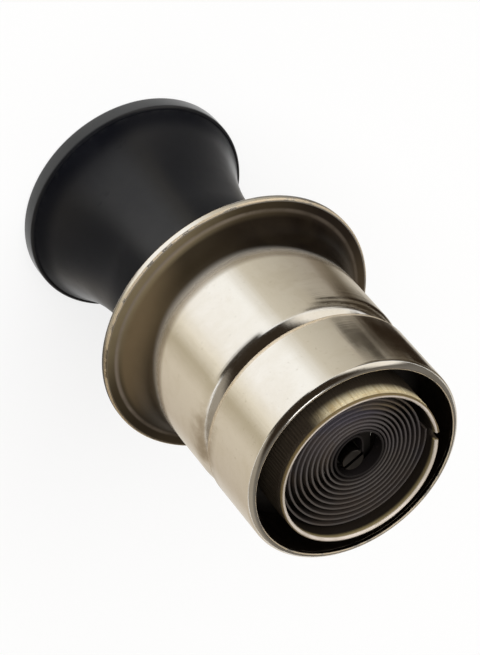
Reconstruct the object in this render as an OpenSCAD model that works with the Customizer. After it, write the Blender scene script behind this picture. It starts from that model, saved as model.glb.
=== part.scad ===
// Pop-out dashboard lighter plug, standing on the face of its knob.
// The knob, stem and heating unit make one plunger, and the sprung sleeve slides and turns on it.
// +Z is the plug's axis and runs from the knob's face to the heating coil. All sizes are millimetres.

/* [Sleeve] */
// Outer diameter of the sleeve, the size that fits the dashboard socket
sleeve_d = 21; // [20:0.1:22]
// Thickness of the sleeve's sheet
sheet_t = 0.5; // [0.4:0.05:0.6]
// Length from the flange's seating face to the turned-in lip
sleeve_len = 21.65; // [20.5:0.05:24]
// Outer diameter of the flange
flange_d = 27; // [26:0.1:30]
// Height of the sweep from the flange up to the sleeve's wall
sweep_h = 2.9; // [2:0.1:3.2]
// Height of the flange's turned-down edge
flange_edge_h = 0.75; // [0.6:0.05:1]
// Share of the flange's width that lies flat outside the sweep
flat_share = 0.34; // [0.25:0.01:0.5]
// Radius of the crease where the sweep leaves the flange
crease_r = 0.45; // [0.3:0.05:0.6]
// Distance from the seating face to the start of the rolled groove
groove_at = 11.15; // [10:0.05:13]
// Length of the groove's long curved flank, on the flange's side
groove_long = 2.2; // [1.8:0.1:2.5]
// Length of the groove's short flank, on the lip's side
groove_short = 0.75; // [0.6:0.05:1]
// Depth of the groove
groove_depth = 0.8; // [0.6:0.05:0.9]
// Outside radius of the ridge that ends the groove
ridge_r = 0.3; // [0.2:0.05:0.4]
// Outside radius of the turned-in lip
lip_r = 0.7; // [0.6:0.05:1.1]

/* [Knob] */
// Diameter of the knob's head
knob_d = 22.2; // [20:0.1:25]
// Thickness of the head at its edge
knob_rim_t = 1.8; // [1.2:0.1:2.6]
// Rounding of the head's two edges
knob_edge_r = 0.35; // [0.2:0.05:0.5]
// Diameter of the neck
neck_d = 16.1; // [15:0.1:17]
// Height above the face at which the flare has become the neck
neck_at = 12; // [10:0.1:14]
// Height of the flange's seating face above the knob's face at rest
knob_reach = 21.95; // [20:0.05:25]
// Diameter of the shallow dish in the knob's face
dish_d = 16; // [10:0.5:18]
// Depth of the dish
dish_depth = 0.5; // [0.3:0.05:1]
// Wall of the neck around the spring's pocket
neck_wall = 1.4; // [1.2:0.1:1.8]
// Height of the pocket's floor above the face
pocket_floor = 16; // [14:0.1:17]
// Step at the end of the neck that seats the guide ring
ring_step = 0.45; // [0.3:0.05:0.6]
// Length of the guide ring
ring_len = 3.1; // [2:0.1:4]

/* [Stem and spring] */
// Travel of the sleeve against the spring
travel = 6; // [4:0.1:6.5]
// Space left between the knob and the guide body at the end of the travel
travel_spare = 0.5; // [0.3:0.1:1]
// Diameter of the stem
stem_d = 5; // [4.4:0.1:5.6]
// Diameter of the stem's threaded end
stem_thread_d = 4; // [3.4:0.1:4.2]
// Length of thread held in the knob's insert
thread_grip = 8; // [6:0.1:9]
// Diameter of the brass insert
insert_d = 7; // [6:0.1:8]
// Length of the insert
insert_len = 9; // [9:0.1:10]
// Depth of the waist that holds the insert in the knob
insert_waist = 0.4; // [0.2:0.05:0.6]
// Thickness of the spring's seat
seat_t = 0.6; // [0.4:0.05:1]
// Outer diameter of the lock washer
lock_washer_d = 6.8; // [6:0.1:7.4]
// Thickness of the lock washer
lock_washer_t = 0.5; // [0.4:0.05:0.8]
// Width of the stem's nut across its flats
stem_nut_w = 7; // [6:0.1:7.4]
// Thickness of the stem's nut
stem_nut_t = 2; // [1.5:0.1:2.5]
// Diameter of the spring's wire
wire_d = 0.8; // [0.6:0.05:0.9]
// Mean diameter of the spring
spring_d = 10.6; // [10.2:0.1:11]
// Turns of the spring between its two closed ends
spring_turns = 5; // [4:0.5:6]
// Thickness of the thrust washer
thrust_t = 0.6; // [0.4:0.05:1]

/* [Guide] */
// Lip of the guide body on the flange's side of the groove
guide_lip_low = 0.5; // [0.4:0.05:0.8]
// Lip of the guide body on the other side of the groove
guide_lip_high = 1.25; // [0.9:0.05:1.6]
// Outer diameter of the guide bush
bush_d = 7.2; // [6.6:0.1:8.4]
// Thickness of the fibre buffer washer
buffer_t = 0.5; // [0.3:0.05:0.8]
// Diameter of the buffer washer
buffer_d = 11; // [9:0.1:13]

/* [Heating unit] */
// Outer diameter of the heater cup
cup_d = 15.7; // [14.5:0.1:16.5]
// Thickness of the cup's sheet
cup_t = 0.4; // [0.3:0.05:0.6]
// Rounding of the cup's lower edge
cup_corner_r = 0.8; // [0.6:0.05:1.2]
// Diameter of the steel stop plate behind the cup
plate_d = 13; // [11:0.1:14]
// Thickness of the stop plate
plate_t = 0.8; // [0.6:0.05:1.2]
// Diameter of the mica insulator behind the cup
mica_d = 12.4; // [10.5:0.1:13]
// Thickness of the mica insulator
mica_t = 0.3; // [0.2:0.05:0.5]
// Diameter of the stud that clamps the heating unit
stud_d = 3; // [2.6:0.1:3.4]
// Length of stud screwed into the stem
stud_grip = 4.6; // [3:0.1:6]
// Diameter of the stud's slotted tip
stud_tip_d = 2.1; // [1.8:0.1:2.4]
// Width of the slot in the tip
stud_slot_w = 0.35; // [0.3:0.05:0.5]
// Wall of the ceramic bush
ceramic_wall = 0.9; // [0.7:0.05:1.2]
// Diameter of the ceramic bush's flange
ceramic_flange_d = 7.2; // [6.4:0.1:8]
// Thickness of that flange
ceramic_flange_t = 0.8; // [0.6:0.05:1.2]
// Diameter of the clamp washer
clamp_washer_d = 6.2; // [5.6:0.1:6.4]
// Thickness of the clamp washer
clamp_washer_t = 0.4; // [0.3:0.05:0.6]
// Width of the clamp nut across its flats
clamp_nut_w = 5; // [4.6:0.1:5.5]
// Thickness of the clamp nut
clamp_nut_t = 1.2; // [1:0.1:1.6]
// Width of the slot in the cup's rim
rim_slot_w = 0.9; // [0.6:0.05:1.4]
// Depth of the slot in the cup's rim
rim_slot_depth = 1; // [0.6:0.05:1.3]
// Direction of the rim's slot about the axis, in degrees
rim_slot_az = 154; // [0:1:359]

/* [Heating coil] */
// Thickness of the ribbon
ribbon_t = 0.2; // [0.15:0.01:0.24]
// Width of the ribbon, along the axis
ribbon_w = 1.3; // [1:0.05:2]
// Turns of the ribbon
coil_turns = 11; // [8:1:11]
// Radius of the coil's eye
eye_r = 2.2; // [1.9:0.05:2.5]
// How far the eye lies off the axis
eye_shift = 0.7; // [0:0.05:0.8]
// Depth of the coil below the cup's rim
coil_drop = 1.4; // [1.2:0.05:2]
// Space between the clamp nut and the coil
coil_lift = 0.1; // [0.05:0.05:0.4]

/* [Clearances] */
// Clearance of seated round faces
seat_clear = 0.02; // [0.01:0.005:0.04]
// Running clearance of the stem in its guides
run_clear = 0.05; // [0.02:0.01:0.1]
// Running clearance of the guide ring in the sleeve
slide_clear = 0.06; // [0.02:0.01:0.1]
// Clearance of loose washers in the knob's pocket
pocket_clear = 0.3; // [0.1:0.05:0.4]

/* [Hidden] */
$fn = 96;
arc_steps = 8;
fine_arc_steps = 14;
nut_sides = 6;

// How far a cut runs past the faces that it opens
cut_over = 1;

// Radii of the sleeve and of what runs in it
sleeve_r = sleeve_d / 2;
sleeve_bore_r = sleeve_r - sheet_t;
flange_r = flange_d / 2;
sweep_w = (1 - flat_share) * (flange_r - sleeve_r);
sweep_r = (sweep_w * sweep_w + sweep_h * sweep_h - 2 * sweep_h * crease_r) / (2 * (sweep_w - crease_r));
sweep_a = atan2(sweep_h - crease_r, sweep_r - sweep_w);
crease_x = sleeve_r + sweep_w;

// Heights along the sleeve
flange_z = knob_reach;
lip_z = flange_z + sleeve_len;
groove_z = flange_z + groove_at;
groove_floor_z = groove_z + groove_long;
groove_end_z = groove_floor_z + groove_short;

// The groove: its long flank curves in from the wall, and its short one runs straight out to the ridge
long_bend = (groove_long * groove_long + groove_depth * groove_depth) / (2 * groove_depth);
long_a = 2 * atan(groove_depth / groove_long);
groove_floor_r = sleeve_r - groove_depth;
short_run = norm([groove_depth - ridge_r, groove_short]);
short_a = atan2(groove_short, groove_depth - ridge_r) - asin(ridge_r / short_run);

// Heights of the guide body and of the sprung stack under it
guide_z = groove_z - guide_lip_low;
guide_top_z = groove_end_z + guide_lip_high;
thrust_z = guide_z - thrust_t;
knob_end_z = guide_z - travel - travel_spare;
ring_z = knob_end_z - ring_len;
seat_top_z = pocket_floor + seat_t;
nut_z = seat_top_z + lock_washer_t;
shank_z = nut_z + stem_nut_t;

// Radii inside the knob
knob_r = knob_d / 2;
neck_r = neck_d / 2;
dish_r = dish_d / 2;
pocket_r = neck_r - neck_wall;
spigot_r = neck_r - ring_step;
stem_r = stem_d / 2;
thread_r = stem_thread_d / 2;
stud_r = stud_d / 2;
insert_r = insert_d / 2;
insert_z = pocket_floor - insert_len;
thread_z = pocket_floor - thread_grip;

// Heights of the insert's waist, as shares of its length, and of the slope at each of its ends
waist_low = 0.4;
waist_high = 0.65;
waist_slope = 0.05;

// Arcs of the knob: its flare and the dish in its face
flare_in = knob_r - knob_edge_r - neck_r;
flare_up = neck_at - knob_rim_t;
flare_r = (flare_in * flare_in + flare_up * flare_up) / (2 * flare_in);
flare_a = asin(flare_up / flare_r);
dish_bend = (dish_r * dish_r + dish_depth * dish_depth) / (2 * dish_depth);

// Heights of the heating unit's stack, from the guide body up to the cup's rim
plate_z = guide_top_z + buffer_t;
mica_z = plate_z + plate_t;
cup_z = mica_z + mica_t;
cup_floor_z = cup_z + cup_t;
clamp_washer_z = cup_floor_z + ceramic_flange_t;
clamp_nut_z = clamp_washer_z + clamp_washer_t;
clamp_top_z = clamp_nut_z + clamp_nut_t;
coil_z = clamp_top_z + coil_lift;
coil_top_z = coil_z + ribbon_w;
rim_z = coil_top_z + coil_drop;
cup_r = cup_d / 2;
cup_bore_r = cup_r - cup_t;
ceramic_r = stud_r + seat_clear + ceramic_wall;
stud_tip_r = stud_tip_d / 2;
stud_z = plate_z - stud_grip;

// Run of the heating ribbon, in degrees about the axis from the stud to the cup's slot
ribbon_start_a = 180;
ribbon_end_a = rim_slot_az + 360 * coil_turns;
ribbon_turn_steps = 30;
ribbon_steps = ribbon_turn_steps * coil_turns;
ribbon_tail_a = 75;
ribbon_exit_a = 40;
ribbon_gap = 0.15;
ribbon_in_r = stud_tip_r + seat_clear + ribbon_t / 2;
ribbon_out_r = cup_bore_r - ribbon_gap - ribbon_t / 2;
ribbon_weld_r = cup_bore_r - seat_clear - ribbon_t / 2;

// Steps along and around the spring's wire
wire_r = wire_d / 2;
spring_r = spring_d / 2;
turn_steps = 20;
wire_sides = 8;
closed_pitch = wire_d + 2 * seat_clear;
spring_low_z = seat_top_z + wire_r + seat_clear;
spring_high_z = thrust_z - wire_r - seat_clear;
spring_steps = turn_steps * (spring_turns + 2);

// Points of an arc about [x, z], from angle a to angle b
function arc(x, z, r, a, b, steps = arc_steps) =
    [for (i = [0 : steps]) let (t = a + (b - a) * i / steps) [x + r * cos(t), z + r * sin(t)]];

// The same points from last to first
function reversed(points) = [for (i = [len(points) - 1 : -1 : 0]) points[i]];

// Smooth step from 0 to 1
function eased(t) = let (s = min(1, max(0, t))) s * s * (3 - 2 * s);

// The groove's outer face: the long flank, then the ridge
function groove_face() = concat(
    arc(sleeve_r - long_bend, groove_z, long_bend, 0, long_a, fine_arc_steps),
    arc(sleeve_r - ridge_r, groove_end_z, ridge_r, short_a - 90, 0));

// The groove's inner face at depth d, which rounds the groove's floor and meets the wall in a corner
function groove_back(d) =
    let (up = (groove_depth - d + d * sin(short_a)) / cos(short_a))
    concat(
        arc(sleeve_r - long_bend, groove_z, long_bend - d, 0, long_a, fine_arc_steps),
        arc(groove_floor_r, groove_floor_z, d, 180 + long_a, 90 + short_a),
        [[sleeve_r - d, groove_floor_z + d * cos(short_a) + up * sin(short_a)]]);

// The sleeve's wall from the flange's flat to the lip, at depth d under its outer face, through a groove
function sleeve_line(d, groove) = concat(
    arc(crease_x, flange_z + crease_r, crease_r + d, 270, 180 + sweep_a),
    arc(sleeve_r + sweep_r, flange_z + sweep_h, sweep_r + d, 180 + sweep_a, 180, fine_arc_steps),
    groove,
    arc(sleeve_r - lip_r, lip_z - lip_r, lip_r - d, 0, 90));

// The brass insert's outline, grown by e for the cavity that holds it
function insert_line(e) = [
    [0, insert_z], [insert_r + e, insert_z],
    [insert_r + e, insert_z + insert_len * waist_low],
    [insert_r - insert_waist + e, insert_z + insert_len * (waist_low + waist_slope)],
    [insert_r - insert_waist + e, insert_z + insert_len * (waist_high - waist_slope)],
    [insert_r + e, insert_z + insert_len * waist_high], [insert_r + e, pocket_floor]];

// Place of the ribbon's middle line at share s of its run, moved off the line by e
function ribbon_point(s, e) =
    let (a = ribbon_start_a + s * (ribbon_end_a - ribbon_start_a))
    let (tail = eased((a - ribbon_start_a) / ribbon_tail_a))
    let (leave = eased((a - ribbon_end_a + ribbon_exit_a) / ribbon_exit_a))
    let (wound = eye_r + (ribbon_out_r - eye_r) * s)
    let (from_stud = ribbon_in_r + (wound - ribbon_in_r) * tail)
    let (r = from_stud + (ribbon_weld_r - from_stud) * leave + e)
    [r * cos(a) - eye_shift * tail * (1 - s), r * sin(a)];

// Height of the spring's wire after t turns: closed ends and an open middle
function spring_height(t) =
    let (open_rise = spring_high_z - spring_low_z - 2 * closed_pitch)
    spring_low_z + closed_pitch * (min(1, t) + max(0, t - spring_turns - 1))
    + open_rise * min(1, max(0, (t - 1) / spring_turns));

// A flat ring from radius a to radius b
module ring(a, b, z, t) {
    translate([0, 0, z]) difference() {
        cylinder(r = b, h = t);
        translate([0, 0, -cut_over]) cylinder(r = a, h = t + 2 * cut_over);
    }
}

// A hex nut of width w across its flats
module hex_nut(w, bore_r, z, t) {
    translate([0, 0, z]) difference() {
        cylinder(d = w / cos(180 / nut_sides), h = t, $fn = nut_sides);
        translate([0, 0, -cut_over]) cylinder(r = bore_r, h = t + 2 * cut_over);
    }
}

// Black knob: head, flare, neck, and the pocket that holds the spring
module knob() {
    color([0.16, 0.16, 0.17]) rotate_extrude() polygon(concat(
        arc(0, dish_depth - dish_bend, dish_bend, 90, 90 - asin(dish_r / dish_bend)),
        arc(knob_r - knob_edge_r, knob_edge_r, knob_edge_r, -90, 0),
        arc(knob_r - knob_edge_r, knob_rim_t - knob_edge_r, knob_edge_r, 0, 90),
        arc(neck_r + flare_r, neck_at, flare_r, 180 + flare_a, 180, fine_arc_steps),
        [[neck_r, ring_z], [spigot_r, ring_z], [spigot_r, knob_end_z],
            [pocket_r, knob_end_z], [pocket_r, pocket_floor]],
        reversed(insert_line(seat_clear))));
}

// Threaded brass insert, held in the knob by its waist
module knob_insert() {
    color([0.72, 0.56, 0.28]) difference() {
        rotate_extrude() polygon(concat(insert_line(0), [[0, pocket_floor]]));
        translate([0, 0, insert_z - cut_over])
            cylinder(r = thread_r + seat_clear, h = insert_len + 2 * cut_over);
    }
}

// Steel stem from the insert to the stop plate, tapped at its top for the stud
module stem() {
    color([0.62, 0.62, 0.63]) difference() {
        union() {
            translate([0, 0, thread_z]) cylinder(r = thread_r, h = shank_z - thread_z);
            translate([0, 0, shank_z]) cylinder(r = stem_r, h = plate_z - shank_z);
        }
        translate([0, 0, stud_z]) cylinder(r = stud_r + seat_clear, h = stud_grip + cut_over);
    }
}

// Washer on the floor of the knob's pocket, under the spring
module spring_seat() {
    color([0.6, 0.6, 0.6]) ring(thread_r + seat_clear, pocket_r - pocket_clear, pocket_floor, seat_t);
}

// Lock washer under the stem's nut
module lock_washer() {
    color([0.5, 0.5, 0.5]) ring(thread_r + seat_clear, lock_washer_d / 2, seat_top_z, lock_washer_t);
}

// Nut that clamps the spring's seat and locks the stem in the insert
module stem_nut() {
    color([0.66, 0.6, 0.45]) hex_nut(stem_nut_w, thread_r + seat_clear, nut_z, stem_nut_t);
}

// Ring on the end of the neck that runs in the sleeve
module guide_ring() {
    color([0.3, 0.28, 0.26]) ring(spigot_r + seat_clear, sleeve_bore_r - slide_clear, ring_z, ring_len);
}

// Compression spring with closed ends, from the seat to the thrust washer
module return_spring() {
    points = [for (i = [0 : spring_steps], j = [0 : wire_sides - 1])
        let (a = 360 * i / turn_steps, b = 360 * j / wire_sides, r = spring_r + wire_r * cos(b))
        [r * cos(a), r * sin(a), spring_height(i / turn_steps) + wire_r * sin(b)]];
    sides = [for (i = [0 : spring_steps - 1], j = [0 : wire_sides - 1], half = [0, 1])
        let (k = (j + 1) % wire_sides, here = i * wire_sides, next = here + wire_sides)
        half == 0 ? [here + j, here + k, next + j] : [here + k, next + k, next + j]];
    ends = [[for (j = [wire_sides - 1 : -1 : 0]) j],
        [for (j = [0 : wire_sides - 1]) spring_steps * wire_sides + j]];
    color([0.55, 0.55, 0.57]) polyhedron(points, concat(sides, ends));
}

// Washer between the spring and the guide body
module thrust_washer() {
    color([0.65, 0.65, 0.66]) ring(stem_r + run_clear, pocket_r - pocket_clear, thrust_z, thrust_t);
}

// Drawn sleeve: flange, sweep, wall with the rolled groove, and the turned-in lip
module sleeve() {
    color([0.78, 0.74, 0.66]) rotate_extrude()
        polygon(concat(
            [[flange_r, flange_z]],
            sleeve_line(0, groove_face()),
            reversed(sleeve_line(sheet_t, groove_back(sheet_t))),
            [[flange_r - sheet_t, flange_z - sheet_t], [flange_r - sheet_t, flange_z - flange_edge_h],
             [flange_r, flange_z - flange_edge_h]]));
}

// Guide body: the sleeve's groove is rolled into its edge
module guide_body() {
    inset = sheet_t + seat_clear;
    color([0.6, 0.58, 0.54]) difference() {
        rotate_extrude() polygon(concat(
            [[0, guide_z], [sleeve_r - inset, guide_z]],
            groove_back(inset),
            [[sleeve_r - inset, guide_top_z], [0, guide_top_z]]));
        translate([0, 0, guide_z - cut_over])
            cylinder(d = bush_d + 2 * seat_clear, h = guide_top_z - guide_z + 2 * cut_over);
    }
}

// Brass bush that runs on the stem
module guide_bush() {
    color([0.74, 0.58, 0.3]) ring(stem_r + run_clear, bush_d / 2, guide_z, guide_top_z - guide_z);
}

// Fibre washer that softens the stop
module buffer_washer() {
    color([0.45, 0.2, 0.14]) ring(stem_r + seat_clear, buffer_d / 2, guide_top_z, buffer_t);
}

// Steel plate on the stem's shoulder: it stops the guide body and backs the cup
module stop_plate() {
    color([0.58, 0.58, 0.58]) ring(stud_r + seat_clear, plate_d / 2, plate_z, plate_t);
}

// Mica washer between the stop plate and the cup
module rear_insulator() {
    color([0.7, 0.66, 0.55]) ring(stud_r + seat_clear, mica_d / 2, mica_z, mica_t);
}

// Heater cup with a slot in its rim
module heater_cup() {
    color([0.76, 0.65, 0.42]) difference() {
        rotate_extrude() polygon(concat(
            [[ceramic_r + seat_clear, cup_z]],
            arc(cup_r - cup_corner_r, cup_z + cup_corner_r, cup_corner_r, -90, 0),
            [[cup_r, rim_z], [cup_bore_r, rim_z]],
            arc(cup_r - cup_corner_r, cup_z + cup_corner_r, cup_corner_r - cup_t, 0, -90),
            [[ceramic_r + seat_clear, cup_floor_z]]));
        rotate(rim_slot_az) translate([cup_bore_r - cut_over, -rim_slot_w / 2, rim_z - rim_slot_depth])
            cube([cup_t + 2 * cut_over, rim_slot_w, rim_slot_depth + cut_over]);
    }
}

// Flanged ceramic bush through the cup's floor
module ceramic_bush() {
    color([0.86, 0.83, 0.76]) difference() {
        union() {
            translate([0, 0, cup_z]) cylinder(r = ceramic_r, h = cup_t);
            translate([0, 0, cup_floor_z]) cylinder(d = ceramic_flange_d, h = ceramic_flange_t);
        }
        translate([0, 0, cup_z - cut_over])
            cylinder(r = stud_r + seat_clear, h = cup_t + ceramic_flange_t + 2 * cut_over);
    }
}

// Washer under the clamp nut
module clamp_washer() {
    color([0.6, 0.6, 0.6]) ring(stud_r + seat_clear, clamp_washer_d / 2, clamp_washer_z, clamp_washer_t);
}

// Nut that clamps the cup's stack on the stud
module clamp_nut() {
    color([0.5, 0.48, 0.45]) hex_nut(clamp_nut_w, stud_r + seat_clear, clamp_nut_z, clamp_nut_t);
}

// Stud through the heating unit, with a slotted tip for the ribbon's inner end
module coil_stud() {
    color([0.28, 0.27, 0.28]) difference() {
        union() {
            translate([0, 0, stud_z + seat_clear])
                cylinder(r = stud_r, h = clamp_top_z - stud_z - seat_clear);
            translate([0, 0, clamp_top_z])
                cylinder(r = stud_tip_r, h = coil_top_z + coil_lift - clamp_top_z);
        }
        translate([-stud_d, -stud_slot_w / 2, coil_z]) cube([2 * stud_d, stud_slot_w, ribbon_w + cut_over]);
    }
}

// Flat spiral of heating ribbon, from the stud's tip to the slot in the cup's rim
module heater_coil() {
    outer = [for (i = [0 : ribbon_steps]) ribbon_point(i / ribbon_steps, ribbon_t / 2)];
    inner = [for (i = [0 : ribbon_steps]) ribbon_point(i / ribbon_steps, -ribbon_t / 2)];
    color([0.25, 0.23, 0.24]) translate([0, 0, coil_z]) linear_extrude(ribbon_w)
        polygon(concat(outer, reversed(inner)));
}

knob();
knob_insert();
stem();
spring_seat();
lock_washer();
stem_nut();
guide_ring();
return_spring();
thrust_washer();
sleeve();
guide_body();
guide_bush();
buffer_washer();
stop_plate();
rear_insulator();
heater_cup();
ceramic_bush();
clamp_washer();
clamp_nut();
coil_stud();
heater_coil();
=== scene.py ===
"""Dressed model of a pop-out dashboard lighter plug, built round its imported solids.

Sizes of the pieces are millimetres, measured from the knob's face along the plug's axis, and become
metres where a mesh is made. The plug stands on its knob, with the heating coil at the top.
"""

import logging
import math
from collections.abc import Callable, Sequence
from dataclasses import dataclass, field
from enum import Enum
from functools import partial, reduce
from typing import Any

import bmesh
import bpy
from mathutils import Matrix, Vector


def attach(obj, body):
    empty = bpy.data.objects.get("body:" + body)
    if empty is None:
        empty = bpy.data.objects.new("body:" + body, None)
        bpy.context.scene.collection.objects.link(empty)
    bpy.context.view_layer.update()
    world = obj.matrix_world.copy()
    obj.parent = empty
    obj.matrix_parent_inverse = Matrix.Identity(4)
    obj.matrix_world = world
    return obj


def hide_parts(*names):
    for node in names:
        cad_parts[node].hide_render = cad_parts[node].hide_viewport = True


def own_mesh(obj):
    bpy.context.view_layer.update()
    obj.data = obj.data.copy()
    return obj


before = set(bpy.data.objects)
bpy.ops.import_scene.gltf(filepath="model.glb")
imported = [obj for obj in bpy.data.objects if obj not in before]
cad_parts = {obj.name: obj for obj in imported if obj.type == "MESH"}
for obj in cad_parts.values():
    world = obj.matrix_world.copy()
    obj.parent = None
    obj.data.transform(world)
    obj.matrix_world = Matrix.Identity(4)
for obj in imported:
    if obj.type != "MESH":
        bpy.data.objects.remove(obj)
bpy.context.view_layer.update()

log = logging.getLogger("lighter_plug")

Spot = tuple[float, float]
Span = tuple[float, float]
Colour = tuple[float, float, float]
Way = tuple[float, float, float]
Shift = Callable[[float, float, float], Spot]
Socket = bpy.types.NodeSocket
Material = bpy.types.Material
Thing = bpy.types.Object

MM = 0.001
IMAGE_LONG_SIDE = 655
SENSOR = 36.0
UP: Way = (0.0, 0.0, 1.0)
LEVEL: Way = (1.0, 1.0, 0.0)
FALL: Span = (1.0, 0.0)

# Curvatures per millimetre at which bulges start to wear and hollows to hold grime, and the further rise
# to the full effect.
WEAR_FROM, WEAR_RUN = 0.8, 3.0
GRIME_FROM, GRIME_RUN = 0.15, 1.2

# Shortest length in millimetres that a turn of an outline is spread over.
SHORTEST_TURN = 0.02

# Distances in metres within which a turned piece's points are merged and its slivers go.
MERGED_WITHIN = 1e-8
SLIVER = 1e-9

# Angles in degrees above which an edge of a turned or grown piece is sharp.
TURNED_SHARP = 38.0
GROWN_SHARP = 48.0


class Slot(Enum):
    """Material slots of the record."""

    BLACK_PLASTIC = "black_plastic"
    NICKEL = "nickel"
    CUP_METAL = "cup_metal"
    HEATER_ALLOY = "heater_alloy"
    DARK_STEEL = "dark_steel"
    BRASS = "brass"
    STEEL = "steel"
    SPRING_STEEL = "spring_steel"
    RING_PLASTIC = "ring_plastic"
    FIBRE = "fibre"
    MICA = "mica"
    CERAMIC = "ceramic"


class Body(Enum):
    """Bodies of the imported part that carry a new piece."""

    PLUNGER = "plunger"
    SLEEVE = "sleeve"


class Effect(Enum):
    """Shader node groups that several finishes share."""

    BLOTCHES = "Blotches"
    HAIRLINES = "Hairlines"
    EDGES = "Edges"
    GRAIN = "Grain"


class Lamp(Enum):
    """Kinds of lamp in the studio."""

    SUN = "SUN"
    AREA = "AREA"


Finishes = dict[Slot, Material]


def arc(x: float, z: float, r: float, start: float, end: float, steps: int = 10) -> list[Spot]:
    """Points of an arc.

    Args:
        x: radius at which the arc's centre lies.
        z: height of the arc's centre.
        r: radius of the arc.
        start: first angle, in degrees.
        end: last angle, in degrees.
        steps: number of chords.

    Returns:
        The points, from the first angle to the last.
    """
    angles = (math.radians(start + (end - start) * i / steps) for i in range(steps + 1))
    return [(x + r * math.cos(a), z + r * math.sin(a)) for a in angles]


def ring_section(low: Spot, high: Spot, edge: float) -> list[Spot]:
    """Outline of a plain ring's section with round edges.

    Args:
        low: inner radius and lowest height.
        high: outer radius and highest height.
        edge: radius of the edges.

    Returns:
        The points, anticlockwise.
    """
    (r0, z0), (r1, z1) = (low[0] + edge, low[1] + edge), (high[0] - edge, high[1] - edge)
    corners = ((r0, z0, 180), (r1, z0, -90), (r1, z1, 0), (r0, z1, 90))
    return [spot for r, z, start in corners for spot in arc(r, z, edge, start, start + 90, 4)]


def even_angles(count: int) -> list[float]:
    """Angles of a full turn in equal steps."""
    return [math.tau * i / count for i in range(count)]


def eased(t: float) -> float:
    """Smooth step from 0 to 1."""
    s = min(1.0, max(0.0, t))
    return s * s * (3 - 2 * s)


def bends(outline: Sequence[Spot]) -> list[float]:
    """Curvature of a closed outline at each of its points.

    Args:
        outline: points, anticlockwise as seen with the radius to the right and the height up.

    Returns:
        The turn at each point divided by the length it turns over, above 0 where the shape bulges.
    """
    result = []
    for i, (x, z) in enumerate(outline):
        ax, az = outline[i - 1]
        bx, bz = outline[(i + 1) % len(outline)]
        ux, uz, vx, vz = x - ax, z - az, bx - x, bz - z
        turn = math.atan2(ux * vz - uz * vx, ux * vx + uz * vz)
        result.append(turn / max(SHORTEST_TURN, 0.5 * (math.hypot(ux, uz) + math.hypot(vx, vz))))
    return result


def new_object(name: str, bm: bmesh.types.BMesh | None = None) -> Thing:
    """Put a new object into the scene at the origin.

    Args:
        name: name of the object and its mesh.
        bm: what its mesh is made of, freed here; left out for an empty mesh.

    Returns:
        The object.
    """
    mesh = bpy.data.meshes.new(name)
    if bm is not None:
        bm.to_mesh(mesh)
        bm.free()
    thing = bpy.data.objects.new(name, mesh)
    bpy.context.scene.collection.objects.link(thing)
    return thing


def plain_mesh(thing: Thing, sharp: float) -> bpy.types.Mesh:
    """Turn what an object's modifiers give into its own plain mesh.

    Args:
        thing: object with modifiers, which are removed.
        sharp: angle in degrees above which an edge is sharp.

    Returns:
        The mesh.
    """
    mesh = bpy.data.meshes.new_from_object(thing.evaluated_get(bpy.context.evaluated_depsgraph_get()))
    thing.modifiers.clear()
    thing.data = mesh
    mesh.name = thing.name
    mesh.set_sharp_from_angle(angle=math.radians(sharp))
    return mesh


def lathe(name: str, outline: Sequence[Spot], angles: Sequence[float], materials: Sequence[Material],
          parts: Sequence[int] = (), shift: Shift | None = None) -> Thing:
    """Turn a closed outline about the plug's axis.

    Args:
        name: name of the new object.
        outline: anticlockwise points of radius and height, in millimetres.
        angles: directions of the mesh's columns.
        materials: its materials.
        parts: index of the material behind each point of the outline; 0 where it is left out.
        shift: gives the radius and height of a point from its angle, radius and height.

    Returns:
        The object, with the attributes wear on sharp bulges and grime in hollows.
    """
    bm = bmesh.new()
    wear, grime = (bm.verts.layers.float.new(n) for n in ("wear", "grime"))
    curve = bends(outline)
    columns = []
    for a in angles:
        column = []
        for (r, z), k in zip(outline, curve):
            if shift:
                r, z = shift(a, r, z)
            vert = bm.verts.new((r * math.cos(a) * MM, r * math.sin(a) * MM, z * MM))
            vert[wear] = eased((k - WEAR_FROM) / WEAR_RUN)
            vert[grime] = eased((-k - GRIME_FROM) / GRIME_RUN)
            column.append(vert)
        columns.append(column)
    for i, column in enumerate(columns):
        beside = columns[(i + 1) % len(columns)]
        for j in range(len(outline)):
            k = (j + 1) % len(outline)
            if outline[j][0] == 0 and outline[k][0] == 0:
                continue
            face = bm.faces.new((column[j], beside[j], beside[k], column[k]))
            face.smooth = True
            face.material_index = parts[j] if parts else 0
    bmesh.ops.remove_doubles(bm, verts=bm.verts, dist=MERGED_WITHIN)
    bmesh.ops.dissolve_degenerate(bm, edges=bm.edges, dist=SLIVER)
    bmesh.ops.recalc_face_normals(bm, faces=bm.faces)
    thing = new_object(name, bm)
    thing.data.set_sharp_from_angle(angle=math.radians(TURNED_SHARP))
    for material in materials:
        thing.data.materials.append(material)
    return thing


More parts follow.
